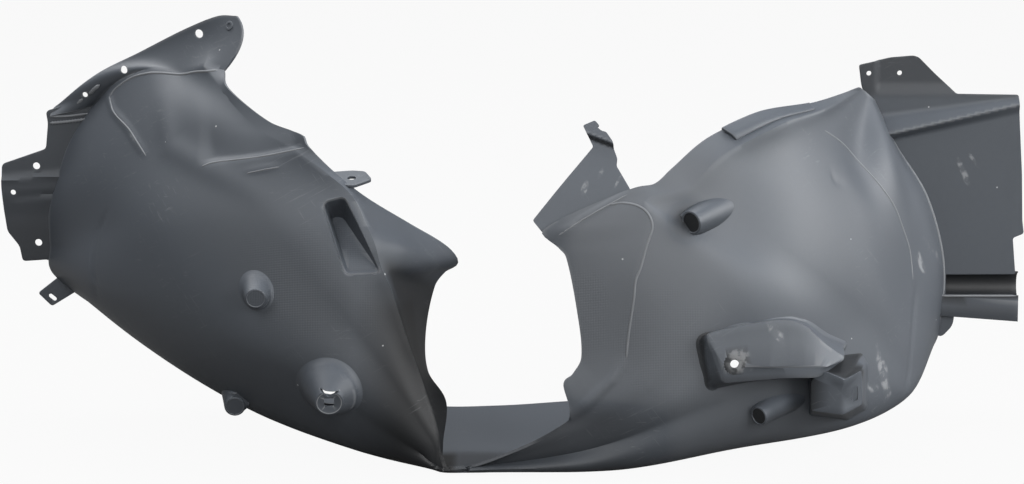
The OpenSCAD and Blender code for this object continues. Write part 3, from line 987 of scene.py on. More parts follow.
@dataclass
class Bracket:
    """The raised hollow bracket with its screw seat."""

    root: tuple[Pair, ...] = (
        (189, 142), (232, 153), (266, 156), (285, 155), (304, 147), (326, 128), (350, 113), (318, 96), (274, 96),
        (199, 88),
    )
    face: tuple[tuple[float, float, float], ...] = (
        (195, -165, 150), (234, -163, 159), (266, -159, 163), (283, -155, 162), (299, -149, 155), (320, -138, 133),
        (343, -130, 116), (312, -155, 101), (274, -165, 103), (212, -171, 99),
    )
    spine: tuple[tuple[float, float, float], ...] = (
        (212, -173, 120), (234, -171.7, 119.6), (262, -170, 117.3), (282, -163.7, 116.7), (298, -158.6, 115.8),
        (311, -154.5, 114.2), (322, -151, 112), (311, -154.5, 111.4), (274, -166.2, 114), (214, -172.9, 116.8),
    )
    heart: tuple[float, float, float] = (262.0, -170.0, 115.7)
    seat: tuple[float, float, float] = (225.0, -171.6, 119.5)

    def rings(self, less: float) -> list[np.ndarray]:
        """Lays out the bracket from the wall to its spine.

        Args:
            less: How much smaller it is drawn, in millimetres.

        Returns:
            The rings, each with the same number of places.
        """
        back = np.array([0, less, 0])
        root = rounded(on_wall(self.root, WALL), 9, 5, 3)
        face = rounded(np.array(self.face), 7, 5, 3)
        spine = rounded(np.array(self.spine), 1.5, 5, 3)
        return [spread(root, -less), spread(face, -less) + back, spine + back]

    def build(self) -> bpy.types.Object:
        """Builds the bracket as a closed shell with its seat and its screw hole, a pale painted highlight along its
        edges, painted shade on its underside and its left side, and its seat floor darkened.
        """
        root, face, spine = self.rings(0)
        low, under, core = self.rings(WALL)
        foot = spread(root, 5)
        foot[:, 1] = SURFACE.meet(foot, FRONT)[:, 1] - 0.8 * WALL
        rings = [
            core, 0.4 * core + 0.6 * under, under, low + np.array([0, WALL + 0.4, 0]),
            spread(root, 2) + np.array([0, WALL * 0.6, 0]), foot, spread(root, 2.6) + np.array([0, -0.8, 0]),
            spread(root, 1) + 0.06 * (face - root), root + 0.16 * (face - root), root + 0.5 * (face - root),
            root + 0.9 * (face - root),
            spread(face, -0.5) + np.array([0, -0.3, 0]) , 0.8 * face + 0.2 * spine, 0.5 * face + 0.5 * spine, spine,
        ]
        piece = add_loft("screw_bracket", rings, self.heart)
        soften(piece, 1.4, 46, 3)
        # Pale painted highlight along the sharp edges.
        paint_edge_highlight_and_wear(piece, 0.45, 24, 5)
        away = Stand(self.seat, (1, 0, 0), (0, 0, 1))
        carve(piece, [add_prism("seat", away, circle(11.5, 44, 0.9), -0.8, 14)])
        carve(piece, [add_prism("bore", away, circle(4.4, 28), -14, 4)])
        places = drawn_places(piece)
        x, y, z = (places - np.array(self.seat)).T
        wear_and_light_amount = painted_light_and_wear_of(piece).data
        darkened = (np.hypot(x, z) < 12.4) & (np.abs(y - 0.8) < 0.1)
        # Painted shade on the underside below the fold and on the left side; the seat floor is darkened.
        for where, amount in ((places[:, 2] < 106, -0.4), ((places[:, 0] < 200) & (places[:, 1] > -158), -0.85),
                              (darkened, -0.9)):
            for k in np.flatnonzero(where):
                wear_and_light_amount[k].value = amount
        smooth(piece, 36)
        return piece

    def hollow(self) -> bpy.types.Object:
        """Builds the tool that opens the wall behind the bracket."""
        return hollow_block(on_wall(self.root), np.array(self.face), 2 * WALL)


@dataclass
class EndBox:
    """The small box with an upright slot at the end of the bracket."""

    root: tuple[Pair, ...] = ((320, 99), (346, 103), (366, 100), (374, 86), (374, 40), (352, 33), (309, 48), (307, 85))
    face: tuple[tuple[float, float, float], ...] = (
        (318, -150, 108), (336, -160, 102), (338, -160, 101), (357, -147, 108), (359, -146, 71), (337, -160, 63),
        (305, -145, 64), (305, -145, 97),
    )
    ridge: tuple[tuple[float, float, float], ...] = (
        (326, -155, 96), (336, -160, 96), (338, -160, 96), (347, -153, 96), (348, -153, 72), (337, -160, 70),
        (324, -154, 72), (324, -154, 90),
    )

    def rings(self, less: float) -> list[np.ndarray]:
        """Lays out the box from the wall to its ridge."""
        back = np.array([0, less, 0])
        root, face, ridge = (
            rounded(ring, 4, 4, 3) for ring in (on_wall(self.root, WALL), np.array(self.face), np.array(self.ridge))
        )
        return [spread(root, -less), spread(face, -less) + back, ridge + back]

    def build(self) -> bpy.types.Object:
        """Builds the box as a closed shell with its slot, a pale painted highlight along its edges and painted shade on
        its top and its left side.
        """
        root, face, ridge = self.rings(0)
        low, under, core = self.rings(WALL)
        foot = spread(root, 4)
        foot[:, 1] = SURFACE.meet(foot, FRONT)[:, 1] - 0.8 * WALL
        rings = [
            core, under, low + np.array([0, WALL + 0.4, 0]), spread(root, 2) + np.array([0, WALL * 0.6, 0]), foot,
            spread(root, 1.6) + np.array([0, -0.6, 0]), *[root + t * (face - root) for t in (0.08, 0.2, 0.5, 0.86, 0.94)],
            spread(face, -0.6) + np.array([0, -0.2, 0]), ridge,
        ]
        piece = add_loft("slotted_box", rings)
        soften(piece, 1.2, 32, 3)
        paint_edge_highlight_and_wear(piece, 0.45, 24, 5)
        slot = rounded(np.array([(-3, -7.5), (3, -7.5), (3, 7.5), (-3, 7.5)]), 2, 3)
        carve(piece, [add_prism("slot", Stand((350, -151, 84), (1, 0, 0), (0, 0, 1)), slot, -12, 16)])
        # Painted shade on the top face and on the left side, which lie in shade, darkened toward black.
        x, y, z = drawn_places(piece).T
        rim = np.interp(x, [318, 337, 357], [-150, -160, -147])
        top = (z > 98) & (y > rim + 2.5) & (x > 315)
        left = (z < 98) & (x < 322) & (y > rim + 4) & (y < rim + 22)
        wear_and_light_amount = painted_light_and_wear_of(piece).data
        for k in np.flatnonzero(top | left):
            wear_and_light_amount[k].value = -0.85
        smooth(piece, 32)
        return piece

    def hollow(self) -> bpy.types.Object:
        """Builds the tool that opens the wall behind the box."""
        return hollow_block(on_wall(self.root), np.array(self.face), 4 * WALL)


@dataclass(frozen=True)
class Plate:
    """A flange plate cut to an outline, with holes and a raised or sunk form."""

    name: str
    stand: Stand
    outline: tuple[Pair, ...]
    holes: tuple[tuple[float, float, float], ...] = ()
    form: Callable[[np.ndarray, np.ndarray], np.ndarray] | None = None
    corner: float = 4.0
    cell: float = 4.0
    slots: tuple[tuple[Pair, ...], ...] = ()
    painted_light_and_wear: Callable[[np.ndarray, np.ndarray], np.ndarray] | None = None

    def build(self) -> bpy.types.Object:
        """Builds the plate from a net, cuts its outline and then its holes.

        Returns:
            The plate, with its edges softened.
        """
        outline = rounded(np.array(self.outline), self.corner, 4)
        low, high = outline.min(axis=0) - 6, outline.max(axis=0) + 6
        counts = np.maximum(np.ceil((high - low) / self.cell).astype(int), 2)
        b, a = np.meshgrid(
            np.linspace(low[1], high[1], counts[1] + 1), np.linspace(low[0], high[0], counts[0] + 1), indexing="ij"
        )
        c = self.form(a, b) if self.form else 0 * a
        piece = add_net(self.name, self.stand.lift(a, b, c))
        thicken(piece)
        reach = float(np.abs(c).max()) + 3 * WALL
        carve(piece, [add_prism("outline", self.stand, outline, -reach, reach)], keep_inside=True)
        tools = [
            add_prism("hole", self.stand, circle(d / 2, 28) + (x, y), -reach, reach) for x, y, d in self.holes
        ]
        tools += [add_prism("slot", self.stand, np.array(slot, dtype=float), -reach, reach) for slot in self.slots]
        if tools:
            carve(piece, tools)
        soften(piece, 0.5, 60)
        # Paints shade and highlights on the plate from its drawn distances.
        if self.painted_light_and_wear:
            away = drawn_places(piece) - np.array(self.stand.origin)
            set_painted_light_and_wear(piece, self.painted_light_and_wear(away @ unit(np.array(self.stand.right)), away @ unit(np.array(self.stand.up))))
        smooth(piece, 35)
        return piece


FENDER_FACE = 148.0
IN_FENDER = Stand((0, FENDER_FACE, 0), (1, 0, 0), (0, 0, 1))


def wedge(a: np.ndarray, b: np.ndarray, corners: Sequence[Pair], slant: float) -> np.ndarray:
    """Gives a raised wedge with slanted sides over a convex outline.

    Args:
        a: Drawn distances to the right.
        b: Drawn distances up.
        corners: The outline, clockwise.
        slant: How wide each side's slant is.

    Returns:
        From 0 outside the outline to 1 on its top.
    """
    inset = np.full(a.shape, 1e9)
    for k, (x, z) in enumerate(corners):
        to = corners[(k + 1) % len(corners)]
        run = math.hypot(to[0] - x, to[1] - z)
        inset = np.minimum(inset, ((a - x) * (to[1] - z) - (b - z) * (to[0] - x)) / run)
    t = np.clip(inset / slant, 0, 1)
    return t * t * (3 - 2 * t)


def bump(value: np.ndarray, width: float) -> np.ndarray:
    """Gives a soft rise round zero of a width."""
    return np.exp(-((value / width) ** 2))


def left_plate_form(a: np.ndarray, b: np.ndarray) -> np.ndarray:
    """Gives the left plate's fold across its middle and its roll into the wall."""
    fold = b - (255 + 0.08 * (a + 560))
    step = 3.2 * (0.5 - 0.5 * np.tanh(fold / 2.2)) * ease((b - 210) / 30)
    return step + 1.4 * bump(fold + 2, 2.6) - 1.8 * bump(fold + 22, 2.6) * ease((a + 556) / 10)


def right_panel_form(a: np.ndarray, b: np.ndarray) -> np.ndarray:
    """Gives the right panel's soft swage, its tab's fold and its slight bow."""
    crest = 327 + 0.125 * (a - 408)
    under = 299 + 0.25 * (a - 412)
    fall, run = crest - b, np.maximum(crest - under, 8)
    height = 13.0 - 8.0 * np.clip((a - 420) / 135, 0, 1)
    swage = height * ease((a - 392) / 16) * ease(fall / (0.8 * run)) * (1 - ease((fall - 0.75 * run) / 11))
    tab = ease((b - 346) / 16) * 3.0 * ease((a - 396) / 6)
    bow = -2.0 * np.clip((a - 480) / 90, 0, 1) ** 2 * np.clip((300 - b) / 200, 0, 1)
    return swage - tab + bow


def leaf_form(a: np.ndarray, b: np.ndarray) -> np.ndarray:
    """Gives the leaf's slight bow and the step below its clip end."""
    past_step = 0.32 * (a - 40.2) + 0.947 * (b - 101.3)
    return 2.0 * bump(b - 45, 40) + 6.0 * ease(past_step / 2.5 + 0.5)


def leaf_shadow_and_highlight(a: np.ndarray, b: np.ndarray) -> np.ndarray:
    """Gives the painted shadow on the face of the leaf's step and the painted highlight on the rim above it."""
    past_step = 0.32 * (a - 40.2) + 0.947 * (b - 101.3)
    return 0.6 * bump(past_step - 2.6, 1.1) - bump(past_step, 1.9)


def left_plate_shade(a: np.ndarray, b: np.ndarray) -> np.ndarray:
    """Gives the painted shade of the left plate, which looks away from the light, darker towards its bottom."""
    return -0.3 - 0.25 * ease((230 - b) / 40) + 0 * a


def right_panel_tab_darkening(a: np.ndarray, b: np.ndarray) -> np.ndarray:
    """Gives the darker tab above the right panel."""
    return -0.55 * ease((b - 340) / 12) + 0 * a


def along_fender(first: float, last: float) -> tuple[Pair, ...]:
    """Gives an outline a little inside the fender edge, between two stations."""
    heart = np.array([0, 260])
    edge = GUIDES[Span.FENDER].at(np.linspace(first, last, 13))[:, [0, 2]]
    return tuple(tuple(p) for p in edge + 7 * unit(heart - edge))


LEAF_STAND = Stand((31, -116, 247), (0.974, -0.225, 0), (0.106, 0.457, 0.883))


def plates() -> list[Plate]:
    """Draws the flange plates and tabs."""
    return [
        Plate(
            "left_plate", IN_FENDER,
            ((-503, 143), (-508, 152), (-514, 163), (-543, 161), (-546, 178), (-559, 195), (-562, 218), (-564, 246),
             (-563, 270), (-514, 287), (-511, 316), (-513, 329), (-484, 338), (-452, 346), *along_fender(0, 5)),
            ((-525, 268, 8), (-551, 239, 6), (-525, 182, 8)), left_plate_form, painted_light_and_wear=left_plate_shade,
        ),
        Plate(
            "left_tab", IN_FENDER,
            ((-504, 143), (-527, 125), (-512, 110), (-486, 126), (-478, 132), (-492, 148)), (), None, 3,
            slots=(tuple((x - 511, z + 120) for x, z in turned(oval(10, 5), 40)),),
        ),
        Plate(
            "right_panel", IN_FENDER,
            ((382, 358), (379, 380), (414, 388), (439, 390), (445, 388), (463, 370), (487, 348), (555, 347),
             (557, 315), (561, 259), (563, 207), (565, 192), (553, 187), (557, 146), (470, 146),
             *along_fender(20.6, 24)),
            ((390, 371, 5.5), (424, 371, 5.5)), right_panel_form, 2.5, 2.2, painted_light_and_wear=right_panel_tab_darkening,
        ),
        Plate(
            "channel_hook", IN_FENDER,
            ((462, 152), (480, 152), (480, 114), (491, 107), (489, 88), (476, 74), (462, 84)), (), None, 6,
        ),
        Plate(
            "back_tab", back_tab_stand(),
            ((-24, -2), (-14, 26), (9, 30), (22, 28), (30, 8), (12, -8)), ((9, 11, 9),), None, 4,
        ),
        Plate(
            "strut_leaf", LEAF_STAND,
            ((1, -4), (-12, 10), (43, 92), (31, 113), (43, 119), (48, 114), (46, 112), (51, 108), (56, 107), (64, 97),
             (64, 92), (69, 81), (69, 73), (86, 48), (87, 43)),
            (), leaf_form, 2.0, 2.1, painted_light_and_wear=leaf_shadow_and_highlight,
        ),
    ]


def oval(length: float, width: float) -> np.ndarray:
    """Draws an oval round the origin, its ends half round."""
    ring = circle(width / 2, 24)
    return ring + np.sign(ring[:, :1]) * np.array([(length - width) / 2, 0])


def turned(outline: np.ndarray, angle: float) -> np.ndarray:
    """Turns an outline about the origin, clockwise by an angle in degrees."""
    c, s = math.cos(math.radians(angle)), math.sin(math.radians(angle))
    return outline @ np.array([[c, -s], [s, c]])


def back_tab_stand() -> Stand:
    """Gives the place and lean of the tab behind the left side wall."""
    lean = math.radians(14)
    place = SURFACE.at(np.array([3.8]), np.array([4.9]))[0]
    return Stand(tuple(place), (1, 0, 0), (0, math.cos(lean), math.sin(lean)))


@dataclass
class Channel:
    """The rolled channel below the right panel, with its hanging lip."""

    height: float = 134.0
    radius: float = 13.0
    bulge: float = 10.6
    first: float = 469.0
    last: float = 560.0
    lean: float = 8.0
    drop: float = 24.0

    def build(self) -> bpy.types.Object:
        """Builds the channel as a bent sheet with a wall, with painted shade inside its roll, a darker lip and a
        painted highlight just below the roll.

        Returns:
            The channel.
        """
        turn = np.radians(np.linspace(90, -90, 17))
        arc = np.stack([self.bulge * np.cos(turn), self.radius * np.sin(turn)], axis=1)
        strip = np.array([(-0.5 * self.lean, 0.5 - self.radius), (1 - self.lean, 2.5 - self.radius)])
        lip = np.array([(-self.lean, 1.5 - self.radius), (-self.lean, -self.radius - 1.5), (-self.lean - 0.5, -self.radius - 0.5 * self.drop),
                        (-self.lean - 1, -self.radius - self.drop)])
        profile = np.concatenate([arc, strip, lip])
        x = np.linspace(self.first, self.last, 14)
        droop = np.interp(x, [self.first, self.last], [4.0, -3.0])
        net = np.array([
            [(xk, FENDER_FACE + 2 + y, self.height + z + (dz if z < -self.radius - 1 else 0)) for y, z in profile]
            for xk, dz in zip(x, droop)
        ])
        piece = add_net("rolled_channel", net)
        thicken(piece, 0.7 * WALL)
        edit_all(piece, face_outwards)
        soften(piece, 0.6, 50)
        # Painted shade inside the roll, a darker lip, and a pale painted highlight along the ridge below the roll.
        height = np.array([v.co.z for v in piece.data.vertices]) / MM - SETTLE[2] - self.height
        set_painted_light_and_wear(piece, np.where(height > -self.radius, -0.97, -0.3) + 0.7 * bump(height + self.radius + 4, 4))
        smooth(piece, 35)
        return piece


@dataclass(frozen=True)
class Bead:
    """A thin raised bead along a line, painted pale as a highlight."""

    name: str
    line: tuple[tuple[float, float, float], ...]
    radius: float = 1.5
    steps: int = 5
    ribs: float = 0.0
    painted_light_and_wear: float = 0.5
    count: int = 10

    def build(self) -> bpy.types.Object:
        """Builds the bead as a closed rod with tapered ends."""
        corners = np.array(self.line, dtype=float)
        fine = np.linspace(0, len(corners) - 1, self.steps * (len(corners) - 1) + 1)
        guide = Guide(tuple((k, *corner) for k, corner in enumerate(corners)))
        path = guide.at(fine)
        along = unit(np.gradient(path, axis=0))
        side = unit(np.cross(along, (0, 1, 0)))
        out = np.cross(side, along)
        end = np.minimum(1, np.minimum(np.arange(len(path)) + 0.4, len(path) - 0.6 - np.arange(len(path))) / 2)
        end *= 1 - self.ribs * (np.arange(len(path)) % 2)
        turn = np.linspace(0, 2 * math.pi, self.count, endpoint=False)
        rings = [
            p + self.radius * e * (np.cos(turn)[:, None] * s + np.sin(turn)[:, None] * o)
            for p, s, o, e in zip(path, side, out, end)
        ]
        piece = add_loft(self.name, rings)
        # The whole bead is painted pale, a painted highlight along the raised line.
        set_painted_light_and_wear(piece, self.painted_light_and_wear)
        smooth(piece, 60)
        return piece


def fender_bead() -> Bead:
    """Draws the bead along the fold between the right end of the wall and its panel."""
    edge = GUIDES[Span.FENDER].at(np.array([23.9, 23.6, 23.2, 22.8, 22.4, 22, 21.5, 21, 20.5, 20, 19.5]))
    return Bead("fold_bead", tuple((x, FENDER_FACE - 2, z) for x, _, z in edge), 2.4)


def wall_bead(wall: bpy.types.Object, name: str, line: Sequence[Pair], radius: float) -> Bead:
    """Draws a thin raised line on the wall.

    Args:
        wall: The built wall.
        name: The line's name.
        line: Its corners as X and Z, as seen from the side wall.
        radius: Half its width in millimetres.

    Returns:
        The bead, mostly sunk in the wall's face.
    """
    share = np.linspace(0, len(line) - 1, 4 * len(line))
    drawn = Guide(tuple((k, x, z, 0.0) for k, (x, z) in enumerate(line))).at(share)
    path = []
    for x, z in drawn[:, :2]:
        start = Vector((np.array((x, -400.0, z)) + SETTLE) * MM)
        hit, place, out, _ = wall.ray_cast(start, Vector((0, 1, 0)))
        if hit:
            path.append(tuple(np.array(place - out * 0.4 * radius * MM) / MM - SETTLE))
    return Bead(name, tuple(path), radius, 2)


def beads(wall: bpy.types.Object) -> list[Bead]:
    """Draws the raised lines of the moulding on the built wall."""
    return [
        fender_bead(),
        wall_bead(wall, "right_ridge_line", (
            (98, 275), (111, 277), (126, 275), (137, 268), (142, 254), (136, 235), (130, 213), (125, 200),
            (123, 179), (118, 143), (116, 118),
        ), 1.5),
        wall_bead(wall, "right_end_line", (
            (329, 330), (351, 312), (370, 290), (392, 266), (410, 241), (421, 215), (430, 188), (434, 155),
        ), 1.2),
        wall_bead(wall, "left_end_line", ((-439, 352), (-431, 337), (-411, 324), (-388, 301)), 1.1),
        wall_bead(wall, "upper_panel_line", ((-325, 301), (-309, 307), (-259, 317), (-213, 329)), 1.1),
        wall_bead(wall, "lower_panel_line", ((-276, 299), (-258, 304), (-240, 308)), 0.9),
        wall_bead(wall, "leaf_line", ((45, 242), (75, 262), (118, 286)), 0.9),
        wall_bead(wall, "end_flange_line", (
            (-438, 351), (-430, 361), (-412, 374), (-393, 381), (-378, 383), (-354, 384), (-336, 389), (-310, 394),
        ), 1.6),
        Bead("channel_rim", tuple((x, FENDER_FACE - 6.5, 123.2) for x in np.linspace(471, 558, 8)), 1.3, 3, painted_light_and_wear=0.7),
        Bead("end_flange_crease", ((-312, 50, 438), (-308, 38, 415), (-306, 25, 403)), 1.4, 6),
        Bead("left_plate_line", ((-560, 146, 247), (-523, 146, 249), (-504, 146, 253)), 1.2),
        Bead("end_flange_lower_rib", ((-487, 147, 329), (-478, 145, 338), (-470, 140, 345)), 2.2),
        Bead("end_flange_upper_rib", ((-464, 137, 349), (-457, 130, 356), (-450, 123, 362)), 2.2),
        Bead("ledge_line", ((-509, 147, 323), (-487, 147, 324), (-463, 147, 327)), 1.3),
        Bead("ribbed_ledge", ((-509, 147, 316), (-487, 147, 318), (-464, 147, 321)), 2.0, 14, 0.35),
    ]


def add_ring(name: str, stand: Stand, outer: float, inner: float, height: float) -> bpy.types.Object:
    """Adds a small raised ring with a blind middle.

    Args:
        name: The ring's name.
        stand: Where it stands.
        outer: Its outer radius.
        inner: Its inner radius.
        height: How far it rises.

    Returns:
        The closed ring.
    """
    levels = ((inner, 0.2), (inner, height), (outer, height), (outer + 0.6, -1.5))
    rings = []
    for radius, level in levels:
        flat = circle(radius, 24)
        rings.append(stand.lift(flat[:, 0], flat[:, 1], level))
    ring = add_loft(name, rings)
    soften(ring, 0.3, 50)
    smooth(ring, 40)
    return ring


def flange_ring(wall: bpy.types.Object) -> bpy.types.Object:
    """Stands the small ring with a blind middle on the tip of the end flange.

    Args:
        wall: The built wall.

    Returns:
        The ring.
    """
    start = Vector((np.array((-300.0, -400.0, 438.0)) + SETTLE) * MM)
    _, place, out, _ = wall.ray_cast(start, Vector((0, 1, 0)))
    LOG.info("end flange ring at %s facing %s", np.round(np.array(place) / MM - SETTLE, 1), np.round(out, 2))
    return add_ring("end_flange_ring", facing(np.array(place) / MM - SETTLE, out), 4.9, 2.4, 1.7)


@dataclass(frozen=True)
class RaisedStrip:
    """A strip of the wall's edge that stands proud of it."""

    name: str
    stations: Pair
    spans: Pair
    height: float = 4.5

    def build(self) -> bpy.types.Object:
        """Builds the strip as a closed pad."""
        u, v = np.linspace(*self.stations, 40), np.linspace(*self.spans, 7)
        uu, vv = np.meshgrid(u, v, indexing="ij")
        places = SURFACE.at(uu.ravel(), vv.ravel())
        out = SURFACE.normal(uu.ravel(), vv.ravel())
        along = (uu.ravel() - u[0]) / (u[-1] - u[0])
        rise = self.height * (1 - 0.75 * ease(along)) * ease(0.45 + 3 * (vv.ravel() - v[0]))
        piece = add_net(self.name, (places + rise[:, None] * out).reshape(len(u), len(v), 3))
        thicken(piece, 0.5 * self.height + 0.6 * WALL)
        soften(piece, 1.2, 50, 3)
        smooth(piece, 35)
        return piece


class Graph:
    """A node tree with short ways to add and to join nodes."""

    def __init__(self, tree: bpy.types.NodeTree) -> None:
        """Keeps the tree that is built."""
        self.tree = tree

    def put(self, socket: bpy.types.NodeSocket, value: object) -> None:
        """Sets an input to a number or a colour, or joins it to an output."""
        if isinstance(value, bpy.types.NodeSocket):
            self.tree.links.new(value, socket)
        else:
            socket.default_value = value

    def add(self, kind: str, inputs: dict[object, object] | None = None, **settings: object) -> bpy.types.Node:
        """Adds a node.

        Args:
            kind: The node's type, without its first word.
            inputs: Values or outputs for its inputs, by name or number.
            settings: The node's own settings.

        Returns:
            The node.
        """
        node = self.tree.nodes.new("ShaderNode" + kind)
        for name, value in settings.items():
            setattr(node, name, value)
        for key, value in (inputs or {}).items():
            self.put(node.inputs[key], value)
        return node

    def math(self, operation: str, *values: object, clamp: bool = False) -> bpy.types.NodeSocket:
        """Adds a Math node and gives its output."""
        return self.add("Math", dict(enumerate(values)), operation=operation, use_clamp=clamp).outputs[0]

    def ramp(self, value: object, low: float, high: float, to_low: float = 0.0, to_high: float = 1.0) -> object:
        """Adds a smooth Map Range node and gives its output."""
        node = self.add(
            "MapRange", {0: value, 1: low, 2: high, 3: to_low, 4: to_high}, interpolation_type="SMOOTHSTEP"
        )
        return node.outputs[0]


def group(name: str, inputs: dict[str, tuple[str, object]], outputs: Sequence[str]) -> tuple[Graph, object, object]:
    """Starts a shader node group.

    Args:
        name: The group's name.
        inputs: Its inputs, as a kind of socket and a first value for each name.
        outputs: The names of its outputs, all of them numbers.

    Returns:
        The group's graph, its input node and its output node.
    """
    tree = bpy.data.node_groups.new(name, "ShaderNodeTree")
    for label, (kind, value) in inputs.items():
        socket = tree.interface.new_socket(label, in_out="INPUT", socket_type=f"NodeSocket{kind}")
        socket.default_value = value
    for label in outputs:
        tree.interface.new_socket(label, in_out="OUTPUT", socket_type="NodeSocketFloat")
    return Graph(tree), tree.nodes.new("NodeGroupInput"), tree.nodes.new("NodeGroupOutput")


def soft_spot_group() -> bpy.types.NodeTree:
    """Builds the group that gives a soft-edged spot round a place."""
    g, ins, out = group(
        "soft_spot",
        {"Vector": ("Vector", (0, 0, 0)), "Centre": ("Vector", (0, 0, 0)), "Reach": ("Vector", (1, 1, 1)),
         "Ragged": ("Float", 0.3), "Turn": ("Float", 0.0)},
        ["Mask"],
    )
    away = g.add("VectorMath", {0: ins.outputs["Vector"], 1: ins.outputs["Centre"]}, operation="SUBTRACT")
    turned_away = g.add("VectorRotate", {0: away.outputs[0], "Angle": ins.outputs["Turn"]}, rotation_type="Y_AXIS")
    scaled = g.add("VectorMath", {0: turned_away.outputs[0], 1: ins.outputs["Reach"]}, operation="DIVIDE")
    length = g.add("VectorMath", {0: scaled.outputs[0]}, operation="LENGTH").outputs["Value"]
    noise = g.add("TexNoise", {"Vector": ins.outputs["Vector"], "Scale": 45.0, "Detail": 3.0}).outputs[0]
    jitter = g.math("MULTIPLY", g.math("SUBTRACT", noise, 0.5), ins.outputs["Ragged"])
    g.put(out.inputs["Mask"], g.ramp(g.math("ADD", length, jitter), 1.0, 0.35))
    return g.tree


def diamond_grain_group() -> bpy.types.NodeTree:
    """Builds the group for the fine woven grain moulded into the plastic."""
    g, ins, out = group(
        "diamond_grain", {"Vector": ("Vector", (0, 0, 0)), "Pitch": ("Float", 0.003)}, ["Height"]
    )
    x, _, z = g.add("SeparateXYZ", {0: ins.outputs["Vector"]}).outputs[:3]
    turn = g.math("DIVIDE", 2 * math.pi, ins.outputs["Pitch"])
    one = g.math("SINE", g.math("MULTIPLY", g.math("ADD", x, z), turn))
    two = g.math("SINE", g.math("MULTIPLY", g.math("SUBTRACT", x, z), turn))
    g.put(out.inputs["Height"], g.math("MULTIPLY_ADD", g.math("MULTIPLY", one, two), 0.5, 0.5))
    return g.tree


def dust_group() -> bpy.types.NodeTree:
    """Builds the group for loose white specks."""
    g, ins, out = group(
        "dust_specks",
        {"Vector": ("Vector", (0, 0, 0)), "Scale": ("Float", 60.0), "Size": ("Float", 0.05), "Share": ("Float", 0.1)},
        ["Mask"],
    )
    cells = g.add("TexVoronoi", {"Vector": ins.outputs["Vector"], "Scale": ins.outputs["Scale"]}, feature="F1")
    near = g.math("LESS_THAN", cells.outputs["Distance"], ins.outputs["Size"])
    red = g.add("SeparateColor", {0: cells.outputs["Color"]}).outputs[0]
    chosen = g.math("LESS_THAN", red, ins.outputs["Share"])
    g.put(out.inputs["Mask"], g.math("MULTIPLY", near, chosen))
    return g.tree


def scuff_group() -> bpy.types.NodeTree:
    """Builds the group for fine pale scratches that lie in one direction."""
    g, ins, out = group(
        "scuffs",
        {"Vector": ("Vector", (0, 0, 0)), "Turn": ("Float", 0.0), "Length": ("Float", 14.0), "Amount": ("Float", 0.3)},
        ["Mask"],
    )
    turned_place = g.add(
        "VectorRotate", {"Vector": ins.outputs["Vector"], "Angle": ins.outputs["Turn"]}, rotation_type="Y_AXIS"
    )
    stretch = g.add("CombineXYZ", {0: ins.outputs["Length"], 1: 60.0, 2: 420.0})
    long_place = g.add("VectorMath", {0: turned_place.outputs[0], 1: stretch.outputs[0]}, operation="MULTIPLY")
    streaks = g.add("TexNoise", {"Vector": long_place.outputs[0], "Scale": 1.0, "Detail": 4.0, "Roughness": 0.6})
    patches = g.add("TexNoise", {"Vector": ins.outputs["Vector"], "Scale": 9.0, "Detail": 2.0}).outputs[0]
    line = g.ramp(streaks.outputs[0], 0.6, 0.78)
    where = g.ramp(patches, 0.5, 0.68)
    g.put(out.inputs["Mask"], g.math("MULTIPLY", g.math("MULTIPLY", line, where), ins.outputs["Amount"]))
    return g.tree


def tone_group() -> bpy.types.NodeTree:
    """Builds the group for the slow changes of tone of a moulded and handled plastic."""
    g, ins, out = group("handled_tone", {"Vector": ("Vector", (0, 0, 0)), "Scale": ("Float", 5.0)}, ["Tone"])
    broad = g.add("TexNoise", {"Vector": ins.outputs["Vector"], "Scale": ins.outputs["Scale"], "Detail": 3.0})
    fine = g.add("TexNoise", {"Vector": ins.outputs["Vector"], "Scale": 160.0, "Detail": 2.0})
    g.put(out.inputs["Tone"], g.math("MULTIPLY_ADD", fine.outputs[0], 0.25, g.math("MULTIPLY", broad.outputs[0], 0.75)))
    return g.tree


@dataclass(frozen=True)
class Spot:
    """A soft-edged region of the liner, in millimetres."""

    centre: tuple[float, float, float]
    reach: tuple[float, float, float]
    turn: float = 0.0


GRAIN_SPOTS = (
    Spot((-205, -110, 190), (95, 120, 75)),
    Spot((75, -120, 160), (36, 80, 75)),
    Spot((150, -140, 120), (75, 80, 80)),
    Spot((-170, -110, 240), (35, 60, 50)),
)
PALE_SPOTS = (
    Spot((-275, -70, 275), (26, 60, 30)),
    Spot((-250, -90, 262), (30, 60, 16)),
    Spot((232, -165, 118), (22, 20, 24)),
)
MARKS = (
    Spot((496, 148, 262), (3.6, 20, 20), 24),
    Spot((507, 148, 275), (3.0, 20, 12), 34),
    Spot((456, 50, 187), (4.5, 150, 26), 32),
    Spot((444, 50, 172), (4.0, 150, 14), 20),
    Spot((394, -20, 72), (6.5, 90, 34), 14),
    Spot((379, -20, 62), (7, 90, 14), 60),
    Spot((229, -165, 120), (17, 14, 16), 12),
    Spot((268, -160, 148), (16, 14, 6), -50),
    Spot((90, -110, 305), (3, 30, 8), -30),
    Spot((74, -110, 290), (3, 30, 8), -20),
    Spot((108, -110, 298), (1.5, 30, 8), -30),
)


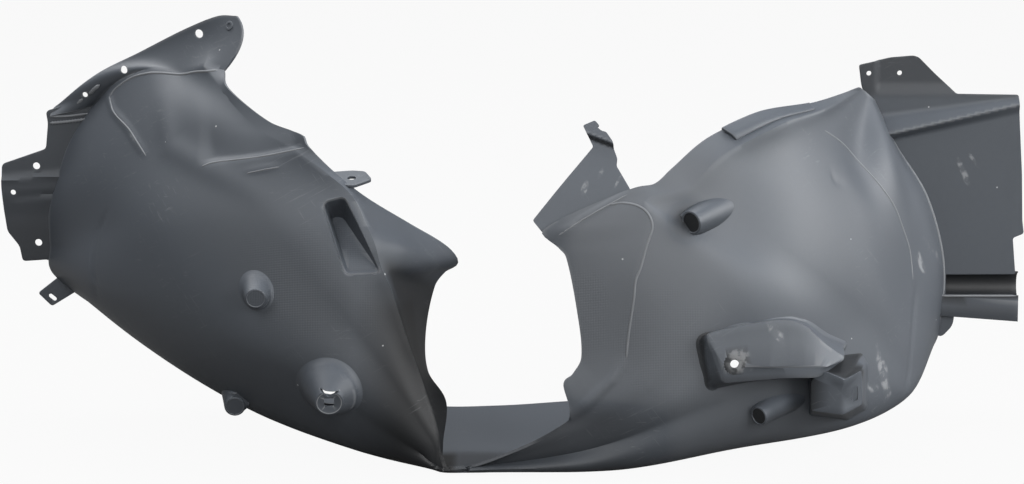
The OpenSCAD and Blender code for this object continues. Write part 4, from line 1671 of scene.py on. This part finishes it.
@dataclass(frozen=True)
class MouldedPlastic:
    """The satin black moulded plastic of the whole liner, with its grain, its scuffs and its dust, and with its painted
    shade and painted highlights.
    """

    name: str = "liner_plastic"
    # The black toward which painted shade darkens.
    darkened: tuple[float, float, float] = (0.010, 0.011, 0.0125)
    deep: tuple[float, float, float] = (0.039, 0.0445, 0.0525)
    # The film colour stands for settled dust and for painted light on surfaces that face up.
    dust_and_lit_top: tuple[float, float, float] = (0.102, 0.116, 0.137)
    pale: tuple[float, float, float] = (0.42, 0.43, 0.44)
    grain_pitch: float = 0.0034

    def build(self) -> bpy.types.Material:
        """Builds the material.

        Returns:
            The material.
        """
        material = bpy.data.materials.new(self.name)
        material.use_nodes = True
        tree = material.node_tree
        g = Graph(tree)
        shader = tree.nodes["Principled BSDF"]
        place = g.add("TexCoord").outputs["Object"]
        spot, grain, dust = soft_spot_group(), diamond_grain_group(), dust_group()
        scuffs, tone = scuff_group(), tone_group()

        def use(tree_of_group: bpy.types.NodeTree, **values: object) -> bpy.types.NodeSocket:
            """Places a group and gives its output."""
            node = g.add("Group", node_tree=tree_of_group)
            for key, value in {"Vector": place, **values}.items():
                g.put(node.inputs[key], value)
            return node.outputs[0]

        def spots(regions: Sequence[Spot], ragged: float) -> bpy.types.NodeSocket:
            """Joins several soft spots into one mask."""
            masks = [
                use(spot, Centre=tuple((np.array(r.centre) + SETTLE) * MM), Reach=tuple(np.array(r.reach) * MM),
                    Ragged=ragged, Turn=math.radians(r.turn))
                for r in regions
            ]
            total = masks[0]
            for mask in masks[1:]:
                total = g.math("MAXIMUM", total, mask)
            return total

        drift = use(tone, Scale=4.0)
        # Up-facing surfaces take the lighter film colour: partly settled dust, partly painted light from the lamps
        # above.
        upward = g.add("SeparateXYZ", {0: g.add("NewGeometry").outputs["Normal"]}).outputs[2]
        dust_and_top_light = g.math("MULTIPLY_ADD", g.ramp(upward, -0.35, 0.75), 0.62, g.math("MULTIPLY", drift, 0.38))
        colour = g.add(
            "Mix", {"Factor": dust_and_top_light, 6: (*self.deep, 1), 7: (*self.dust_and_lit_top, 1)}, data_type="RGBA"
        ).outputs[2]
        # Negative wear paints shade toward the black colour; positive wear paints pale highlights, mixed with the real
        # scuffs and dust.
        painted_light_and_wear = g.add("Attribute", attribute_name="painted_light_and_wear").outputs["Fac"]
        colour = g.add(
            "Mix", {"Factor": g.math("MULTIPLY", painted_light_and_wear, -1.0, clamp=True), 6: colour, 7: (*self.darkened, 1)},
            data_type="RGBA",
        ).outputs[2]
        woven = use(grain, Pitch=self.grain_pitch)
        grained = spots(GRAIN_SPOTS, 0.9)
        marks = g.math("MAXIMUM", use(scuffs, Turn=0.5, Amount=0.2), use(scuffs, Turn=-0.9, Length=20.0, Amount=0.16))
        marks = g.math("MAXIMUM", marks, use(scuffs, Turn=0.08, Length=60.0, Amount=0.14))
        rubbed = g.math("MULTIPLY", spots(PALE_SPOTS, 1.4), use(scuffs, Turn=0.2, Length=40.0, Amount=0.5))
        fleck = g.add("TexNoise", {"Vector": place, "Scale": 130.0, "Detail": 3.0}).outputs[0]
        rubbed = g.math("MAXIMUM", rubbed, g.math("MULTIPLY", spots(MARKS, 2.2), g.ramp(fleck, 0.42, 0.6, 0.05, 0.4)))
        specks = g.math("MAXIMUM", use(dust, Scale=38.0, Size=0.05, Share=0.07), use(dust, Scale=90.0, Size=0.09, Share=0.03))
        wear_and_light_amount = g.math("MULTIPLY", g.math("MAXIMUM", painted_light_and_wear, 0.0), 0.55)
        pale = g.math("MAXIMUM", g.math("MAXIMUM", marks, rubbed), g.math("MAXIMUM", specks, wear_and_light_amount), clamp=True)
        colour = g.add("Mix", {"Factor": pale, 6: colour, 7: (*self.pale, 1)}, data_type="RGBA").outputs[2]
        g.put(shader.inputs["Base Color"], colour)
        roughness = g.math("MULTIPLY_ADD", drift, 0.16, 0.42)
        g.put(shader.inputs["Roughness"], g.math("MULTIPLY_ADD", pale, 0.3, roughness, clamp=True))
        fine = g.add("TexNoise", {"Vector": place, "Scale": 900.0, "Detail": 2.0}).outputs[0]
        height = g.math("MULTIPLY_ADD", g.math("MULTIPLY", woven, grained), 1.0, g.math("MULTIPLY", fine, 0.25))
        relief = g.add("Bump", {"Height": height, "Distance": 0.0004, "Strength": 0.55})
        g.put(shader.inputs["Normal"], relief.outputs[0])
        return material


@dataclass
class Studio:
    """The floor, the lamps, the world and the camera."""

    target: tuple[float, float, float] = (0.0, 0.0, 225.0)
    distance: float = 3500.0
    elevation: float = 11.0
    focal_px: float = 3301.9
    centre_px: tuple[float, float] = (513.0, 229.95)
    image_px: tuple[int, int] = (1024, 484)
    lamp_size: float = 1.6
    lamp_distance: float = 3.0

    def camera(self) -> None:
        """Adds the camera at the photograph's viewing angle."""
        data = bpy.data.cameras.new("camera")
        data.sensor_width = 36
        data.lens = self.focal_px / self.image_px[0] * 36
        data.shift_x = (self.image_px[0] / 2 - self.centre_px[0]) / self.image_px[0]
        data.shift_y = (self.centre_px[1] - self.image_px[1] / 2) / self.image_px[0]
        data.clip_end = 100
        camera = bpy.data.objects.new("camera", data)
        bpy.context.collection.objects.link(camera)
        tilt = math.radians(self.elevation)
        target = Vector((np.array(self.target) + SETTLE) * MM)
        away = Vector((0, -math.cos(tilt), math.sin(tilt))) * self.distance * MM
        camera.location = target + away
        camera.rotation_euler = (-away).to_track_quat("-Z", "Y").to_euler()
        bpy.context.scene.camera = camera

    def lamp(self, name: str, azimuth: float, elevation: float, power: float) -> None:
        """Adds a square lamp that looks at the part.

        Args:
            name: The lamp's name.
            azimuth: Where it stands round the part, from the camera's side towards the right, in degrees.
            elevation: How high it stands, in degrees.
            power: Its power in watts.
        """
        data = bpy.data.lights.new(name, "AREA")
        data.size = self.lamp_size
        data.energy = power
        lamp = bpy.data.objects.new(name, data)
        bpy.context.collection.objects.link(lamp)
        turn, rise = math.radians(azimuth), math.radians(elevation)
        away = Vector((math.sin(turn) * math.cos(rise), -math.cos(turn) * math.cos(rise), math.sin(rise)))
        heart = Vector((0, 0, 0.2))
        lamp.location = heart + away * self.lamp_distance
        lamp.rotation_euler = (-away).to_track_quat("-Z", "Y").to_euler()

    def floor(self) -> None:
        """Adds the pale floor, which looks white to the camera and keeps a soft shadow."""
        deselect()
        bpy.ops.mesh.primitive_plane_add(size=60)
        floor = bpy.context.object
        floor.name = "floor"
        material = bpy.data.materials.new("pale_floor")
        material.use_nodes = True
        tree = material.node_tree
        tree.nodes.clear()
        out = tree.nodes.new("ShaderNodeOutputMaterial")
        mix = tree.nodes.new("ShaderNodeMixShader")
        glow = tree.nodes.new("ShaderNodeEmission")
        matt = tree.nodes.new("ShaderNodeBsdfDiffuse")
        path = tree.nodes.new("ShaderNodeLightPath")
        share = tree.nodes.new("ShaderNodeMath")
        share.operation = "MULTIPLY"
        share.inputs[1].default_value = 0.94
        matt.inputs["Color"].default_value = (0.22, 0.22, 0.22, 1)
        tree.links.new(path.outputs["Is Camera Ray"], share.inputs[0])
        tree.links.new(share.outputs[0], mix.inputs[0])
        tree.links.new(matt.outputs[0], mix.inputs[1])
        tree.links.new(glow.outputs[0], mix.inputs[2])
        tree.links.new(mix.outputs[0], out.inputs[0])
        floor.data.materials.append(material)

    def world(self) -> None:
        """Lights the part evenly from all round."""
        world = bpy.data.worlds.new("studio")
        world.use_nodes = True
        world.node_tree.nodes["Background"].inputs["Color"].default_value = (1, 1, 1, 1)
        world.node_tree.nodes["Background"].inputs["Strength"].default_value = 0.02
        bpy.context.scene.world = world

    def build(self) -> None:
        """Builds the whole studio."""
        self.camera()
        self.world()
        self.floor()
        self.lamp("right_lamp", 90, 20, 70)
        self.lamp("right_front_lamp", 45, 20, 48)
        self.lamp("front_lamp", 0, 20, 31)
        self.lamp("left_lamp", -45, 45, 26)
        self.lamp("far_left_lamp", -95, 50, 18)
        self.lamp("back_lamp", -135, 45, 38)
        self.lamp("top_lamp", 180, 72, 46)
        bpy.context.scene.view_settings.view_transform = "Standard"


def main() -> None:
    """Builds the pieces in order and hands them to the frame."""
    logging.basicConfig(level=logging.INFO, format="%(message)s")
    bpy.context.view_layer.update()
    Studio().build()
    plastic = MouldedPlastic().build()
    pocket, bracket, box = Pocket(), Bracket(), EndBox()
    round_tools = [boss.hollow() for boss in BOSSES]
    round_tools += [add_prism("hole", IN_FENDER, circle(d / 2, 28) + (x, z), -8, 200) for x, z, d in FLANGE_HOLES]
    tools = [round_tools, [pocket.hollow()], [bracket.hollow()], [box.hollow()]]
    pieces = [MouldedWall().build(tools), pocket.build(), bracket.build(), box.build(), Channel().build()]
    pieces += [boss.build() for boss in BOSSES]
    pieces += [plate.build() for plate in plates()]
    pieces += [bead.build() for bead in beads(pieces[0])]
    pieces += [RaisedStrip("edge_lip", (21.35, 22.85), (4.3, 5.0)).build()]
    pieces += [flange_ring(pieces[0])]
    for piece in pieces:
        # A pale painted highlight along every piece's sharp edges.
        paint_edge_highlight_and_wear(piece, 0.3)
        piece.data.materials.clear()
        piece.data.materials.append(plastic)
        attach(piece, "root")
        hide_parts(NODE)
        LOG.info("%s: %d faces", piece.name, len(piece.data.polygons))


FLANGE_HOLES = ((-335, 426, 9), (-421, 381, 8), (-468, 349, 6))


if __name__ == "__main__":
    main()
